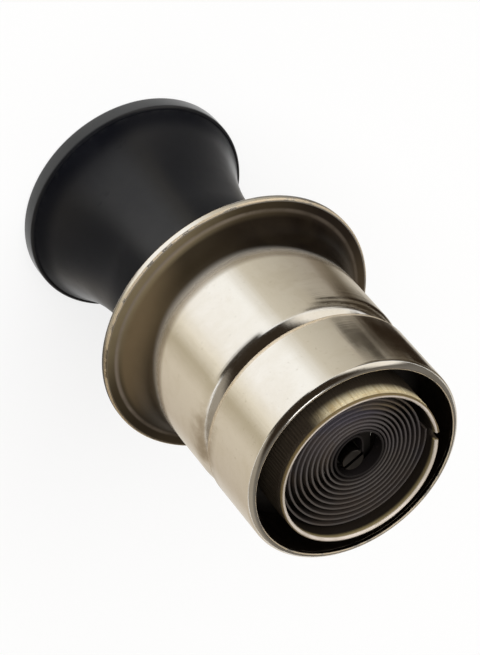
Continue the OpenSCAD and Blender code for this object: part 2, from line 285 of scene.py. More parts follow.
class Tree:
    """Short ways to add and join the nodes of one tree."""

    def __init__(self, tree: bpy.types.NodeTree) -> None:
        """Keep the tree that the nodes go into."""
        self.tree = tree

    def add(self, kind: str, wires: dict[str | int, Any] | None = None, **settings: Any) -> bpy.types.Node:
        """Add one node.

        Args:
            kind: Blender's name for the kind of node.
            wires: value or socket for each named or numbered input.
            settings: the node's own properties.

        Returns:
            The node.
        """
        node = self.tree.nodes.new(kind)
        for key, value in settings.items():
            setattr(node, key, value)
        for key, value in (wires or {}).items():
            self.feed(node.inputs[key], value)
        return node

    def feed(self, socket: Socket, value: Any) -> None:
        """Join a socket to another one, or set its value.

        Args:
            socket: input to join or set.
            value: socket, or plain value; a colour of three numbers becomes opaque.
        """
        if isinstance(value, Socket):
            self.tree.links.new(value, socket)
        elif isinstance(value, tuple) and socket.type == "RGBA":
            socket.default_value = (*value, 1.0)
        else:
            socket.default_value = value

    def math(self, operation: str, a: Any, b: Any = 0.0) -> Socket:
        """Result of one sum."""
        return self.add("ShaderNodeMath", {0: a, 1: b}, operation=operation).outputs[0]

    def plus(self, *numbers: Any) -> Socket:
        """Sum of some numbers."""
        return reduce(partial(self.math, "ADD"), numbers)

    def times(self, *numbers: Any) -> Socket:
        """Product of some numbers."""
        return reduce(partial(self.math, "MULTIPLY"), numbers)

    def less(self, a: Any, b: Any) -> Socket:
        """What is left of a without b."""
        return self.math("SUBTRACT", a, b)

    def rest(self, share: Any) -> Socket:
        """What a share leaves of 1."""
        return self.less(1.0, share)

    def vector(self, operation: str, *values: Any) -> Socket:
        """Result of one sum of vectors, which is a number for a length or a dot product."""
        kind = "Value" if operation in ("LENGTH", "DOT_PRODUCT") else "Vector"
        return self.add("ShaderNodeVectorMath", dict(enumerate(values)), operation=operation).outputs[kind]

    def remap(self, value: Any, low: Any, high: Any, to: Any = (0.0, 1.0), smooth: bool = True) -> Socket:
        """Move a value from one range to another, with its ends held.

        Args:
            value: the value.
            low: start of its range.
            high: end of its range.
            to: start and end of the new range.
            smooth: whether the change eases in and out.

        Returns:
            The new value.
        """
        wires = {"Value": value, "From Min": low, "From Max": high, "To Min": to[0], "To Max": to[1]}
        kind = "SMOOTHSTEP" if smooth else "LINEAR"
        return self.add("ShaderNodeMapRange", wires, interpolation_type=kind).outputs[0]

    def ease(self, share: Any, ends: Span) -> Socket:
        """Number that eases between two ends."""
        return self.remap(share, 0.0, 1.0, ends)

    def mix(self, share: Any, a: Any, b: Any) -> Socket:
        """Colour between a and b."""
        return self.add("ShaderNodeMix", {0: share, 6: a, 7: b}, data_type="RGBA").outputs[2]

    def between(self, share: Any, a: Any, b: Any) -> Socket:
        """Number between a and b."""
        return self.add("ShaderNodeMix", {0: share, 2: a, 3: b}, data_type="FLOAT").outputs[0]

    def own_place(self) -> Socket:
        """Coordinates of the object itself."""
        return self.add("ShaderNodeTexCoord").outputs["Object"]

    def noise(self, place: Socket, scale: Any, detail: float, **wires: float) -> bpy.types.Node:
        """Noise over a place."""
        return self.add("ShaderNodeTexNoise", {"Vector": place, "Scale": scale, "Detail": detail, **wires})


class SharedEffects:
    """Builds the node groups that several finishes share."""

    made: dict[Effect, bpy.types.NodeTree] = {}
    worn_noise: Span = (0.35, 0.6)
    grime_noise: Span = (0.25, 0.65)
    broken: Span = (0.45, 1.0)

    @classmethod
    def start(cls, effect: Effect, inputs: dict[str, str], outputs: Sequence[str]) -> tuple[Tree, Any, Any]:
        """Start a group.

        Args:
            effect: the effect that it gives.
            inputs: kind of each named input.
            outputs: names of the outputs, which are all numbers.

        Returns:
            The group's tree, its given values, and the sockets of its results.
        """
        group = bpy.data.node_groups.new(effect.value, "ShaderNodeTree")
        for key, kind in inputs.items():
            group.interface.new_socket(key, in_out="INPUT", socket_type="NodeSocket" + kind)
        for key in outputs:
            group.interface.new_socket(key, in_out="OUTPUT", socket_type="NodeSocketFloat")
        cls.made[effect] = group
        tree = Tree(group)
        return tree, tree.add("NodeGroupInput").outputs, tree.add("NodeGroupOutput").inputs

    @classmethod
    def blotches(cls) -> None:
        """Soft cloudy patches."""
        inputs = dict.fromkeys(("Scale", "From", "To"), "Float")
        tree, given, out = cls.start(Effect.BLOTCHES, inputs, ["Mask"])
        cloud = tree.noise(tree.own_place(), given["Scale"], 4.0, Roughness=0.58, Distortion=0.4).outputs[0]
        tree.feed(out["Mask"], tree.remap(cloud, given["From"], given["To"]))

    @classmethod
    def hairlines(cls) -> None:
        """Fine lines, long along the axes with a small stretch and close along the others."""
        inputs = {"Stretch": "Vector", "From": "Float", "To": "Float"}
        tree, given, out = cls.start(Effect.HAIRLINES, inputs, ["Height", "Mask"])
        drawn = tree.vector("MULTIPLY", tree.own_place(), given["Stretch"])
        lines = tree.noise(drawn, 1.0, 3.0, Roughness=0.6).outputs[0]
        tree.feed(out["Height"], lines)
        tree.feed(out["Mask"], tree.remap(lines, given["From"], given["To"]))

    @classmethod
    def edges(cls) -> None:
        """Broken wear on sharp edges and grime in hollows, from the piece's own attributes."""
        tree, given, out = cls.start(Effect.EDGES, {"Scale": "Float"}, ["Worn", "Grime"])
        cloud = tree.noise(tree.own_place(), given["Scale"], 3.0).outputs[0]
        for key, source, span in (("Worn", "wear", cls.worn_noise), ("Grime", "grime", cls.grime_noise)):
            amount = tree.add("ShaderNodeAttribute", attribute_name=source).outputs["Fac"]
            tree.feed(out[key], tree.times(amount, tree.remap(cloud, *span, cls.broken)))

    @classmethod
    def grain(cls) -> None:
        """Fine even grain of a moulded or pressed surface."""
        tree, given, out = cls.start(Effect.GRAIN, {"Scale": "Float"}, ["Height"])
        tree.feed(out["Height"], tree.noise(tree.own_place(), given["Scale"], 2.0).outputs[0])

    @classmethod
    def make_all(cls) -> None:
        """Build every group once."""
        for make in (cls.blotches, cls.hairlines, cls.edges, cls.grain):
            make()


@dataclass(frozen=True)
class Clouds:
    """Cloudy patches of a finish: their scale, and the part of the noise over which they rise."""

    scale: float
    shown: Span


@dataclass(frozen=True)
class Lines:
    """Fine lines of a finish: their stretch, and the part of the noise over which they rise."""

    stretch: Way
    shown: Span


@dataclass(frozen=True)
class Side:
    """One side of the plug: a direction, and the distances along it over which the side begins."""

    way: Way
    low: float
    high: float


class Coat(Tree):
    """The node tree of one material, round its Principled shader."""

    def __init__(self, name: str, metallic: float, **sockets: float) -> None:
        """Start a material.

        Args:
            name: name of the material.
            metallic: 1 for bare metal and 0 for anything else.
            sockets: constant values of the shader, with _ for each space in a socket's name.
        """
        self.material = bpy.data.materials.new(name)
        self.material.use_nodes = True
        super().__init__(self.material.node_tree)
        self.shader = self.tree.nodes["Principled BSDF"]
        self.shader.inputs["Metallic"].default_value = metallic
        for key, value in sockets.items():
            self.shader.inputs[key.replace("_", " ")].default_value = value
        self.place = self.own_place()

    def effect(self, effect: Effect, **values: Any) -> dict[str, Socket]:
        """Place a shared group and give its results by name."""
        node = self.add("ShaderNodeGroup", values, node_tree=SharedEffects.made[effect])
        return {socket.name: socket for socket in node.outputs}

    def clouds(self, clouds: Clouds) -> Socket:
        """Mask of cloudy patches."""
        low, high = clouds.shown
        return self.effect(Effect.BLOTCHES, Scale=clouds.scale, From=low, To=high)["Mask"]

    def lines(self, lines: Lines) -> dict[str, Socket]:
        """Height and mask of fine lines."""
        low, high = lines.shown
        return self.effect(Effect.HAIRLINES, Stretch=lines.stretch, From=low, To=high)

    def grain(self, scale: float) -> Socket:
        """Height of a fine grain."""
        return self.effect(Effect.GRAIN, Scale=scale)["Height"]

    def on(self, side: Side) -> Socket:
        """Mask of one side."""
        return self.remap(self.vector("DOT_PRODUCT", self.place, side.way), side.low * MM, side.high * MM)

    def height_above(self, base: float, span: Span) -> Socket:
        """Mask that rises over a span of heights, counted from a base."""
        return self.on(Side(UP, base + span[0], base + span[1]))

    def radius_above(self, base: float, span: Span, x: float = 0.0) -> Socket:
        """Mask that rises over a span of distances from an upright line at x, counted from a base."""
        reach = self.vector("LENGTH", self.vector("MULTIPLY_ADD", self.place, LEVEL, (-x * MM, 0.0, 0.0)))
        return self.remap(reach, (base + span[0]) * MM, (base + span[1]) * MM)

    def height_band(self, base: float, rise: Span, fall: Span) -> Socket:
        """Mask that rises over one span of heights and falls over another, counted from a base."""
        return self.times(self.height_above(base, rise), self.rest(self.height_above(base, fall)))

    def radius_band(self, base: float, rise: Span, fall: Span) -> Socket:
        """Mask that rises over one span of radii and falls over another, counted from a base."""
        return self.times(self.radius_above(base, rise), self.rest(self.radius_above(base, fall)))

    def bump(self, height: Socket, distance: float, over: Socket | None = None) -> Socket:
        """Normal of a height of so many millimetres, laid over another normal where one is given."""
        wires = {"Height": height, "Distance": distance * MM, "Strength": 1.0}
        return self.add("ShaderNodeBump", wires if over is None else {**wires, "Normal": over}).outputs[0]

    def finish(self, colour: Socket, roughness: Socket, normal: Socket) -> Material:
        """Join the colour, roughness and normal to the shader.

        Args:
            colour: base colour.
            roughness: roughness.
            normal: normal.

        Returns:
            The material.
        """
        for key, value in (("Base Color", colour), ("Roughness", roughness), ("Normal", normal)):
            self.feed(self.shader.inputs[key], value)
        return self.material


@dataclass(frozen=True)
class PlatedSheet:
    """Drawn sheet with bright plate and worn edges. Its sweep and flange are darkened partly by tarnish and
    partly by painted dark reflection. It has painted highlights on the crease, the flange's flat and the
    groove's ridge.
    """

    name: str = "bright_plate"
    bright: Colour = (0.91, 0.885, 0.835)
    dim: Colour = (0.86, 0.825, 0.755)
    speck: Colour = (0.30, 0.235, 0.15)
    hem_tone: Colour = (0.20, 0.16, 0.10)
    tarnish: Colour = (0.056, 0.042, 0.024)
    # The sweep and flat colours below are part burn and tarnish, part painted reflection.
    burn_and_dark_reflection: Colour = (0.008, 0.005, 0.003)
    browned_and_reflection: Colour = (0.155, 0.113, 0.064)
    flat_dark_reflection: Colour = (0.020, 0.014, 0.010)
    flat_light_reflection: Colour = (0.25, 0.20, 0.12)
    back_stain: Colour = (0.095, 0.070, 0.042)
    crease: Colour = (0.22, 0.18, 0.14)
    base_metal: Colour = (0.56, 0.44, 0.28)
    clouds: Clouds = Clouds(240.0, (0.38, 0.68))
    specks: Clouds = Clouds(2600.0, (0.62, 0.74))
    rings: Lines = Lines((90.0, 90.0, 7000.0), (0.45, 0.7))
    draws: Lines = Lines((900.0, 900.0, 60.0), (0.45, 0.7))
    wear_scale: float = 900.0
    ring_depth: float = 0.004
    draw_depth: float = 0.01

    wall_r: float = 10.5
    crease_r: float = 12.42
    edge_r: float = 13.2
    flange_z: float = 21.95
    wall_z: float = 24.85
    ridge_z: float = 36.05

    rear: Side = Side((0.0, 1.0, 0.0), 0.0, 8.0)
    brown_reflection_side: Side = Side((0.75, -0.66, 0.0), 7.2, 11.4)
    tarnish_and_reflection_side: Side = Side((0.75, -0.66, 0.0), 0.0, 8.0)
    flat_side: Side = Side((0.34, -0.94, 0.0), 0.0, 7.0)
    flat_reflection_side: Side = Side((0.34, -0.94, 0.0), 7.0, 14.0)
    smudge_and_shade_side: Side = Side((0.94, -0.34, 0.0), 8.2, 10.4)
    hem_side: Side = Side((0.96, 0.28, 0.0), 1.0, 9.0)
    crease_highlight_side: Side = Side((0.6, -0.8, 0.0), -2.0, 9.0)

    side_lift: float = 2.4
    lift_power: float = 3.0
    rear_lift: float = 0.75
    stain_and_shade_top: Span = (-0.95, 1.25)
    stain_and_shade_foot: Span = (-0.3, -0.1)
    stain_and_shade_rim: Span = (0.0, 0.2)
    sweep_rise: Span = (22.45, 24.65)
    flat_top: Span = (0.05, 0.4)
    smudge_and_shade_rise: Span = (32.0, 34.2)
    smudge_and_shade_fall: Span = (36.2, 37.4)
    hem_rise: Span = (-0.1, 0.1)
    ridge_rise: Span = (-0.2, -0.05)
    ridge_fall: Span = (0.08, 0.3)
    crease_rise: Span = (-0.34, -0.04)
    crease_fall: Span = (0.0, 0.22)
    bared: Span = (0.05, 0.5)
    worn_through: Span = (0.25, 0.7)

    grime_share: float = 0.45
    speck_share: float = 0.18
    smudge_and_shade_share: float = 0.75
    hem_share: Span = (0.95, 0.7)
    brown_loss: float = 0.6
    tarnished_share: float = 0.5
    cloud_share: float = 0.15
    rear_share: float = 0.85
    halo_power: float = 2.0
    halo_share: float = 4.0
    ridge_highlight_share: Span = (0.85, 0.5)
    worn_share: Span = (0.0, 0.8)
    crease_highlight_share: Span = (1.0, 0.5)
    crease_highlight_turn: Span = (0.35, 0.95)
    metal: Span = (1.0, 0.35)
    gloss: Span = (0.11, 0.17)
    stain_and_shade_rough: float = 0.2
    ring_rough: float = 0.03

    def stained(self, coat: Coat, behind: Socket, edge: dict[str, Socket]) -> Socket:
        """Mask of the tarnish and painted dark reflection, which climbs the wall towards its sides and stops
        at worn edges.

        Args:
            coat: the material's tree.
            behind: mask of the plug's rear.
            edge: masks of wear and grime.

        Returns:
            The mask.
        """
        spot = coat.add("ShaderNodeSeparateXYZ", {0: coat.place}).outputs
        # Painted shade with tarnish: the dark band reaches higher up the wall at the sides and at the rear.
        aside = coat.math("ABSOLUTE", coat.math("DIVIDE", spot[0], self.wall_r * MM))
        aside = coat.math("MINIMUM", coat.math("POWER", aside, self.lift_power), 1.0)
        aside = coat.math("MAXIMUM", aside, coat.times(behind, self.rear_lift))
        height = coat.less(spot[2], coat.times(aside, self.side_lift * MM))
        low, high = (self.wall_z + z for z in self.stain_and_shade_top)
        band = coat.times(coat.remap(height, low * MM, high * MM, FALL),
                          coat.height_above(self.flange_z, self.stain_and_shade_foot),
                          coat.rest(coat.radius_above(self.edge_r, self.stain_and_shade_rim)))
        dark = coat.math("MAXIMUM", band, coat.times(edge["Grime"], self.grime_share))
        return coat.times(dark, coat.remap(edge["Worn"], *self.bared, FALL))

    def plate(self, coat: Coat, cloud: Socket) -> Socket:
        """Colour of the plate, with specks, a smudge and painted dark reflection across the groove towards
        +X, and a hem darker towards +X.

        Args:
            coat: the material's tree.
            cloud: mask of cloudy patches.

        Returns:
            The colour.
        """
        colour = coat.mix(cloud, self.bright, self.dim)
        colour = coat.mix(coat.times(coat.clouds(self.specks), self.speck_share), colour, self.speck)
        # Smudge and painted dark reflection: darkens the groove towards +X.
        smudge_and_shade = coat.height_band(0.0, self.smudge_and_shade_rise, self.smudge_and_shade_fall)
        smudge_and_shade = coat.times(smudge_and_shade, coat.on(self.smudge_and_shade_side), cloud, self.smudge_and_shade_share)
        colour = coat.mix(smudge_and_shade, colour, self.speck)
        # The flange's edge is darker towards +X.
        hem = coat.times(coat.radius_above(self.edge_r, self.hem_rise), coat.on(self.hem_side))
        return coat.mix(coat.times(hem, coat.ease(cloud, self.hem_share)), colour, self.hem_tone)

    def stain_and_reflection(self, coat: Coat, cloud: Socket, behind: Socket) -> Socket:
        """Colour of the tarnish and of painted reflection. On the sweep it is near black, but brown towards
        +X and −Y. On the flange's flat it is light towards −Y and dark elsewhere. It is browner at the rear.

        Args:
            coat: the material's tree.
            cloud: mask of cloudy patches.
            behind: mask of the plug's rear.

        Returns:
            The colour.
        """
        # Painted reflection over tarnish on the sweep: brown towards +X and −Y, near black elsewhere.
        loss = coat.times(coat.height_above(0.0, self.sweep_rise), self.brown_loss)
        brown = coat.times(coat.on(self.brown_reflection_side), coat.rest(loss))
        tarnished = coat.times(coat.on(self.tarnish_and_reflection_side), self.tarnished_share)
        sweep = coat.mix(brown, coat.mix(tarnished, self.burn_and_dark_reflection, self.tarnish), self.browned_and_reflection)
        # Painted reflection on the flange's flat: light towards −Y, dark away from it.
        flat = coat.mix(coat.on(self.flat_side), self.flat_dark_reflection, self.tarnish)
        flat = coat.mix(coat.on(self.flat_reflection_side), flat, self.flat_light_reflection)
        colour = coat.mix(coat.height_above(self.flange_z, self.flat_top), flat, sweep)
        colour = coat.mix(coat.times(cloud, self.cloud_share), colour, self.tarnish)
        return coat.mix(coat.times(behind, self.rear_share), colour, self.back_stain)

    def make(self) -> Material:
        """Build the material.

        Returns:
            The material.
        """
        coat = Coat(self.name, 1.0, Specular_IOR_Level=0.1)
        cloud, behind = coat.clouds(self.clouds), coat.on(self.rear)
        rings, draws = coat.lines(self.rings), coat.lines(self.draws)
        edge = coat.effect(Effect.EDGES, Scale=self.wear_scale)
        dark = self.stained(coat, behind, edge)
        colour = coat.mix(dark, self.plate(coat, cloud), self.stain_and_reflection(coat, cloud, behind))
        halo = coat.times(dark, coat.math("POWER", coat.rest(dark), self.halo_power), self.halo_share)
        colour = coat.mix(halo, colour, self.speck)
        # Painted highlight: a pale line along the crease, strongest towards +X and −Y.
        line = coat.times(coat.radius_band(self.crease_r, self.crease_rise, self.crease_fall),
                          coat.ease(cloud, self.crease_highlight_share),
                          coat.between(coat.on(self.crease_highlight_side), *self.crease_highlight_turn))
        colour = coat.mix(line, colour, self.crease)
        # Painted highlight: a tan line along the groove's ridge, in the bared metal's colour and joined to
        # the real edge wear below.
        ridge_highlight = coat.height_band(self.ridge_z, self.ridge_rise, self.ridge_fall)
        ridge_highlight = coat.times(ridge_highlight, coat.ease(cloud, self.ridge_highlight_share))
        worn = coat.math("MAXIMUM", ridge_highlight, coat.remap(edge["Worn"], *self.worn_through, self.worn_share))
        colour = coat.mix(worn, colour, self.base_metal)
        coat.feed(coat.shader.inputs["Metallic"], coat.ease(coat.math("MAXIMUM", dark, worn), self.metal))
        rough = coat.plus(coat.between(cloud, *self.gloss), coat.times(dark, self.stain_and_shade_rough),
                          coat.times(rings["Mask"], self.ring_rough))
        normal = coat.bump(rings["Height"], self.ring_depth)
        return coat.finish(colour, rough, coat.bump(draws["Height"], self.draw_depth, normal))


@dataclass(frozen=True)
class MouldedPlastic:
    """Satin moulded plastic with a fine grain, a dull cove above its rim, and edges and a rim band lightened
    partly by rubbing and partly by painted sheen.
    """

    name: str
    colour: Colour
    faded: Colour
    rubbed_and_sheen: Colour
    gloss: Span = (0.29, 0.4)
    shine: float = 0.3
    clouds: Clouds = Clouds(170.0, (0.35, 0.7))
    scuffs: Lines = Lines((260.0, 1400.0, 700.0), (0.66, 0.78))
    wear_scale: float = 700.0
    grain_scale: float = 5200.0
    grain_depth: float = 0.006
    rim: float = 1.8
    rim_fade: Span = (-0.5, -0.1)
    cove_rise: Span = (-0.05, 0.02)
    cove_fall: Span = (0.2, 2.6)
    edge_share: float = 0.12
    rim_share: float = 0.55
    skin: Span = (0.76, 0.06)
    skin_clouds: Span = (1.05, 0.85)
    scuff_loss: float = 0.15
    scuff_rough: float = 0.1

    def make(self) -> Material:
        """Build the material.

        Returns:
            The material.
        """
        coat = Coat(self.name, 0.0, Specular_IOR_Level=0.06, Coat_Roughness=self.shine)
        cloud, scuffs = coat.clouds(self.clouds), coat.lines(self.scuffs)["Mask"]
        worn = coat.times(coat.effect(Effect.EDGES, Scale=self.wear_scale)["Worn"], self.edge_share)
        # Lighter rim band: partly rubbed, partly painted sheen.
        rim = coat.times(coat.rest(coat.height_above(self.rim, self.rim_fade)), self.rim_share)
        colour = coat.mix(cloud, self.colour, self.faded)
        colour = coat.mix(coat.math("MAXIMUM", worn, rim), colour, self.rubbed_and_sheen)
        cove = coat.height_band(self.rim, self.cove_rise, self.cove_fall)
        skin = coat.times(coat.ease(cove, self.skin), coat.between(cloud, *self.skin_clouds))
        skin = coat.less(skin, coat.times(scuffs, self.scuff_loss))
        coat.feed(coat.shader.inputs["Coat Weight"], skin)
        rough = coat.plus(coat.between(cloud, *self.gloss), coat.times(scuffs, self.scuff_rough))
        return coat.finish(colour, rough, coat.bump(coat.grain(self.grain_scale), self.grain_depth))


@dataclass(frozen=True)
class CupMetal:
    """Drawn cup: gold outside near the rim towards −X and −Y, with soot and painted shade deeper down and on
    the other sides. It has a painted shadow line under the rim, and a rim that is partly rubbed bright and
    partly painted highlight.
    """

    name: str = "gold_plate"
    outside: Colour = (0.96, 0.85, 0.58)
    stained: Colour = (0.60, 0.45, 0.22)
    soot_and_shade: Colour = (0.047, 0.036, 0.025)
    bore_soot_and_shade: Colour = (0.016, 0.012, 0.009)
    hem: Colour = (0.16, 0.115, 0.05)
    inside: Colour = (0.30, 0.24, 0.12)
    rim: Colour = (0.74, 0.66, 0.585)
    clouds: Clouds = Clouds(420.0, (0.35, 0.68))
    draws: Lines = Lines((4200.0, 4200.0, 160.0), (0.4, 0.68))
    draw_depth: float = 0.012
    bore_r: float = 7.45
    rim_z: float = 44.5
    clean_and_lit_side: Side = Side((-0.766, -0.643, 0.0), 4.2, 6.6)
    clean_and_lit_rise: Span = (-1.8, -0.7)
    wall_rise: Span = (0.12, 0.25)
    hem_rise: Span = (-0.32, -0.2)
    inside_rise: Span = (-0.7, -0.25)
    rim_rise: Span = (-0.26, -0.1)
    rim_edge: Span = (0.22, 0.32)
    cloud_share: float = 0.5
    draw_share: float = 0.7
    rim_share: Span = (1.0, 0.75)
    metal: float = 0.25
    gloss: Span = (0.36, 0.48)

    def make(self) -> Material:
        """Build the material.

        Returns:
            The material.
        """
        coat = Coat(self.name, self.metal)
        cloud, draws = coat.clouds(self.clouds), coat.lines(self.draws)
        wall = coat.mix(coat.times(cloud, self.cloud_share), self.outside, self.stained)
        wall = coat.mix(coat.times(draws["Mask"], self.draw_share), wall, self.stained)
        # Gold only near the rim towards −X and −Y; below and elsewhere, soot and painted shade.
        clean_and_lit = coat.times(coat.on(self.clean_and_lit_side), coat.height_above(self.rim_z, self.clean_and_lit_rise))
        wall = coat.mix(clean_and_lit, self.soot_and_shade, wall)
        # Painted shadow: a dark olive line just under the rim.
        wall = coat.mix(coat.height_above(self.rim_z, self.hem_rise), wall, self.hem)
        # Inside the cup: olive near the rim, soot and painted shade deeper down.
        bore = coat.mix(coat.height_above(self.rim_z, self.inside_rise), self.bore_soot_and_shade, self.inside)
        colour = coat.mix(coat.radius_above(self.bore_r, self.wall_rise), bore, wall)
        # Rim top: partly rubbed bright, partly painted highlight.
        top = coat.times(coat.height_above(self.rim_z, self.rim_rise),
                         coat.rest(coat.radius_above(self.bore_r, self.rim_edge)),
                         coat.ease(cloud, self.rim_share))
        colour = coat.mix(top, colour, self.rim)
        normal = coat.bump(draws["Height"], self.draw_depth)
        return coat.finish(colour, coat.between(cloud, *self.gloss), normal)


@dataclass(frozen=True)
class HeatedRibbon:
    """Heating ribbon, dark with oxide, with heat colours and a painted highlight on its top edges. Soot and
    painted shade darken its inward faces and the eye round the stud.
    """

    name: str = "oxidised_ribbon"
    oxide: Colour = (0.078, 0.064, 0.055)
    brown: Colour = (0.105, 0.080, 0.062)
    blue: Colour = (0.084, 0.075, 0.088)
    straw: Colour = (0.165, 0.125, 0.075)
    edge: Colour = (0.115, 0.102, 0.095)
    soot_and_shade: Colour = (0.012, 0.010, 0.010)
    clouds: Clouds = Clouds(330.0, (0.36, 0.66))
    heat: Clouds = Clouds(110.0, (0.45, 0.6))
    crust_scale: float = 9000.0
    crust_depth: float = 0.004
    top_z: float = 43.1
    edge_highlight_rise: Span = (-0.1, -0.02)
    eye_x: float = -0.6
    eye_r: Span = (2.3, 3.2)
    tint_side: Side = Side((-0.47, -0.88, 0.0), 3.4, 4.8)
    straw_side: Side = Side((-0.79, -0.61, 0.0), 4.9, 5.6)
    inward: Span = (-0.6, 0.3)
    heat_share: float = 0.4
    edge_share: Span = (1.0, 0.55)
    straw_share: Span = (0.9, 0.4)
    inward_shade_share: float = 0.62
    metal: float = 0.3
    gloss: Span = (0.34, 0.48)

    def make(self) -> Material:
        """Build the material.

        Returns:
            The material.
        """
        coat = Coat(self.name, self.metal)
        cloud = coat.clouds(self.clouds)
        colour = coat.mix(cloud, self.oxide, self.brown)
        # Painted highlight: the ribbon's top edges lighter.
        top = coat.times(coat.height_above(self.top_z, self.edge_highlight_rise), coat.ease(cloud, self.edge_share))
        colour = coat.mix(top, colour, self.edge)
        heat = coat.times(coat.clouds(self.heat), self.heat_share)
        colour = coat.mix(coat.math("MAXIMUM", heat, coat.on(self.tint_side)), colour, self.blue)
        straw = coat.times(coat.on(self.straw_side), coat.ease(cloud, self.straw_share))
        colour = coat.mix(straw, colour, self.straw)
        # Soot and painted shade: the ribbon's inward-facing sides darker.
        outward = coat.vector("NORMALIZE", coat.vector("MULTIPLY", coat.place, LEVEL))
        facing = coat.vector("DOT_PRODUCT", coat.add("ShaderNodeTexCoord").outputs["Normal"], outward)
        inward_shade = coat.times(coat.remap(facing, *self.inward, FALL), self.inward_shade_share)
        colour = coat.mix(inward_shade, colour, self.soot_and_shade)
        # Soot and painted shade: the eye round the stud darker.
        colour = coat.mix(coat.radius_above(0.0, self.eye_r, self.eye_x), self.soot_and_shade, colour)
        normal = coat.bump(coat.grain(self.crust_scale), self.crust_depth)
        return coat.finish(colour, coat.between(cloud, *self.gloss), normal)


@dataclass(frozen=True)
class PlainMetal:
    """Turned, drawn or pressed metal of an inner piece."""

    name: str
    bright: Colour
    dull: Colour
    stretch: Way = (500.0, 500.0, 9000.0)
    gloss: Span = (0.26, 0.42)
    clouds: Clouds = Clouds(380.0, (0.35, 0.68))
    line_shown: Span = (0.42, 0.66)
    line_depth: float = 0.006
    wear_scale: float = 900.0
    line_share: float = 0.25
    worn_share: float = 0.5

    def make(self) -> Material:
        """Build the material.

        Returns:
            The material.
        """
        coat = Coat(self.name, 1.0)
        cloud, lines = coat.clouds(self.clouds), coat.lines(Lines(self.stretch, self.line_shown))
        worn = coat.effect(Effect.EDGES, Scale=self.wear_scale)["Worn"]
        colour = coat.mix(cloud, self.bright, self.dull)
        colour = coat.mix(coat.times(lines["Mask"], self.line_share), colour, self.dull)
        colour = coat.mix(coat.times(worn, self.worn_share), colour, self.bright)
        normal = coat.bump(lines["Height"], self.line_depth)
        return coat.finish(colour, coat.between(cloud, *self.gloss), normal)


@dataclass(frozen=True)
class Insulator:
    """Fibre, mica or ceramic: pale or red, dull and grainy."""

    name: str
    colour: Colour
    flecks: Colour
    stretch: Way
    gloss: Span = (0.6, 0.8)
    clouds: Clouds = Clouds(500.0, (0.35, 0.68))
    fleck_shown: Span = (0.5, 0.7)
    cloud_share: float = 0.5
    grain_scale: float = 6500.0
    grain_depth: float = 0.012

    def make(self) -> Material:
        """Build the material.

        Returns:
            The material.
        """
        coat = Coat(self.name, 0.0)
        cloud = coat.clouds(self.clouds)
        flecks = coat.lines(Lines(self.stretch, self.fleck_shown))["Mask"]
        flecks = coat.math("MAXIMUM", flecks, coat.times(cloud, self.cloud_share))
        colour = coat.mix(flecks, self.colour, self.flecks)
        normal = coat.bump(coat.grain(self.grain_scale), self.grain_depth)
        return coat.finish(colour, coat.between(cloud, *self.gloss), normal)


def make_finishes() -> Finishes:
    """Build one material for each slot of the record.

    Returns:
        The materials by slot.
    """
    SharedEffects.make_all()
    finishes = {
        Slot.BLACK_PLASTIC: MouldedPlastic("black_plastic", (0.0028, 0.0031, 0.0048),
                                           (0.0044, 0.0047, 0.0066), (0.034, 0.035, 0.034)),
        Slot.RING_PLASTIC: MouldedPlastic("ring_plastic", (0.045, 0.041, 0.037), (0.06, 0.055, 0.048),
                                          (0.12, 0.11, 0.10)),
        Slot.NICKEL: PlatedSheet(),
        Slot.CUP_METAL: CupMetal(),
        Slot.HEATER_ALLOY: HeatedRibbon(),
        Slot.DARK_STEEL: PlainMetal("dark_steel", (0.13, 0.122, 0.116), (0.075, 0.069, 0.065),
                                    gloss=(0.42, 0.56)),
        Slot.BRASS: PlainMetal("turned_brass", (0.72, 0.56, 0.29), (0.52, 0.39, 0.19)),
        Slot.STEEL: PlainMetal("zinc_steel", (0.58, 0.58, 0.57), (0.40, 0.39, 0.37), (5000.0, 5000.0, 300.0)),
        Slot.SPRING_STEEL: PlainMetal("spring_wire", (0.44, 0.44, 0.45), (0.26, 0.25, 0.25)),
        Slot.FIBRE: Insulator("red_fibre", (0.26, 0.075, 0.04), (0.36, 0.14, 0.09), (700.0, 4200.0, 4200.0)),
        Slot.MICA: Insulator("mica", (0.52, 0.46, 0.33), (0.66, 0.60, 0.47), (900.0, 900.0, 9000.0),
                             (0.3, 0.45)),
        Slot.CERAMIC: Insulator("ceramic", (0.78, 0.74, 0.66), (0.62, 0.56, 0.47), (2600.0, 2600.0, 2600.0)),
    }
    return {slot: finish.make() for slot, finish in finishes.items()}


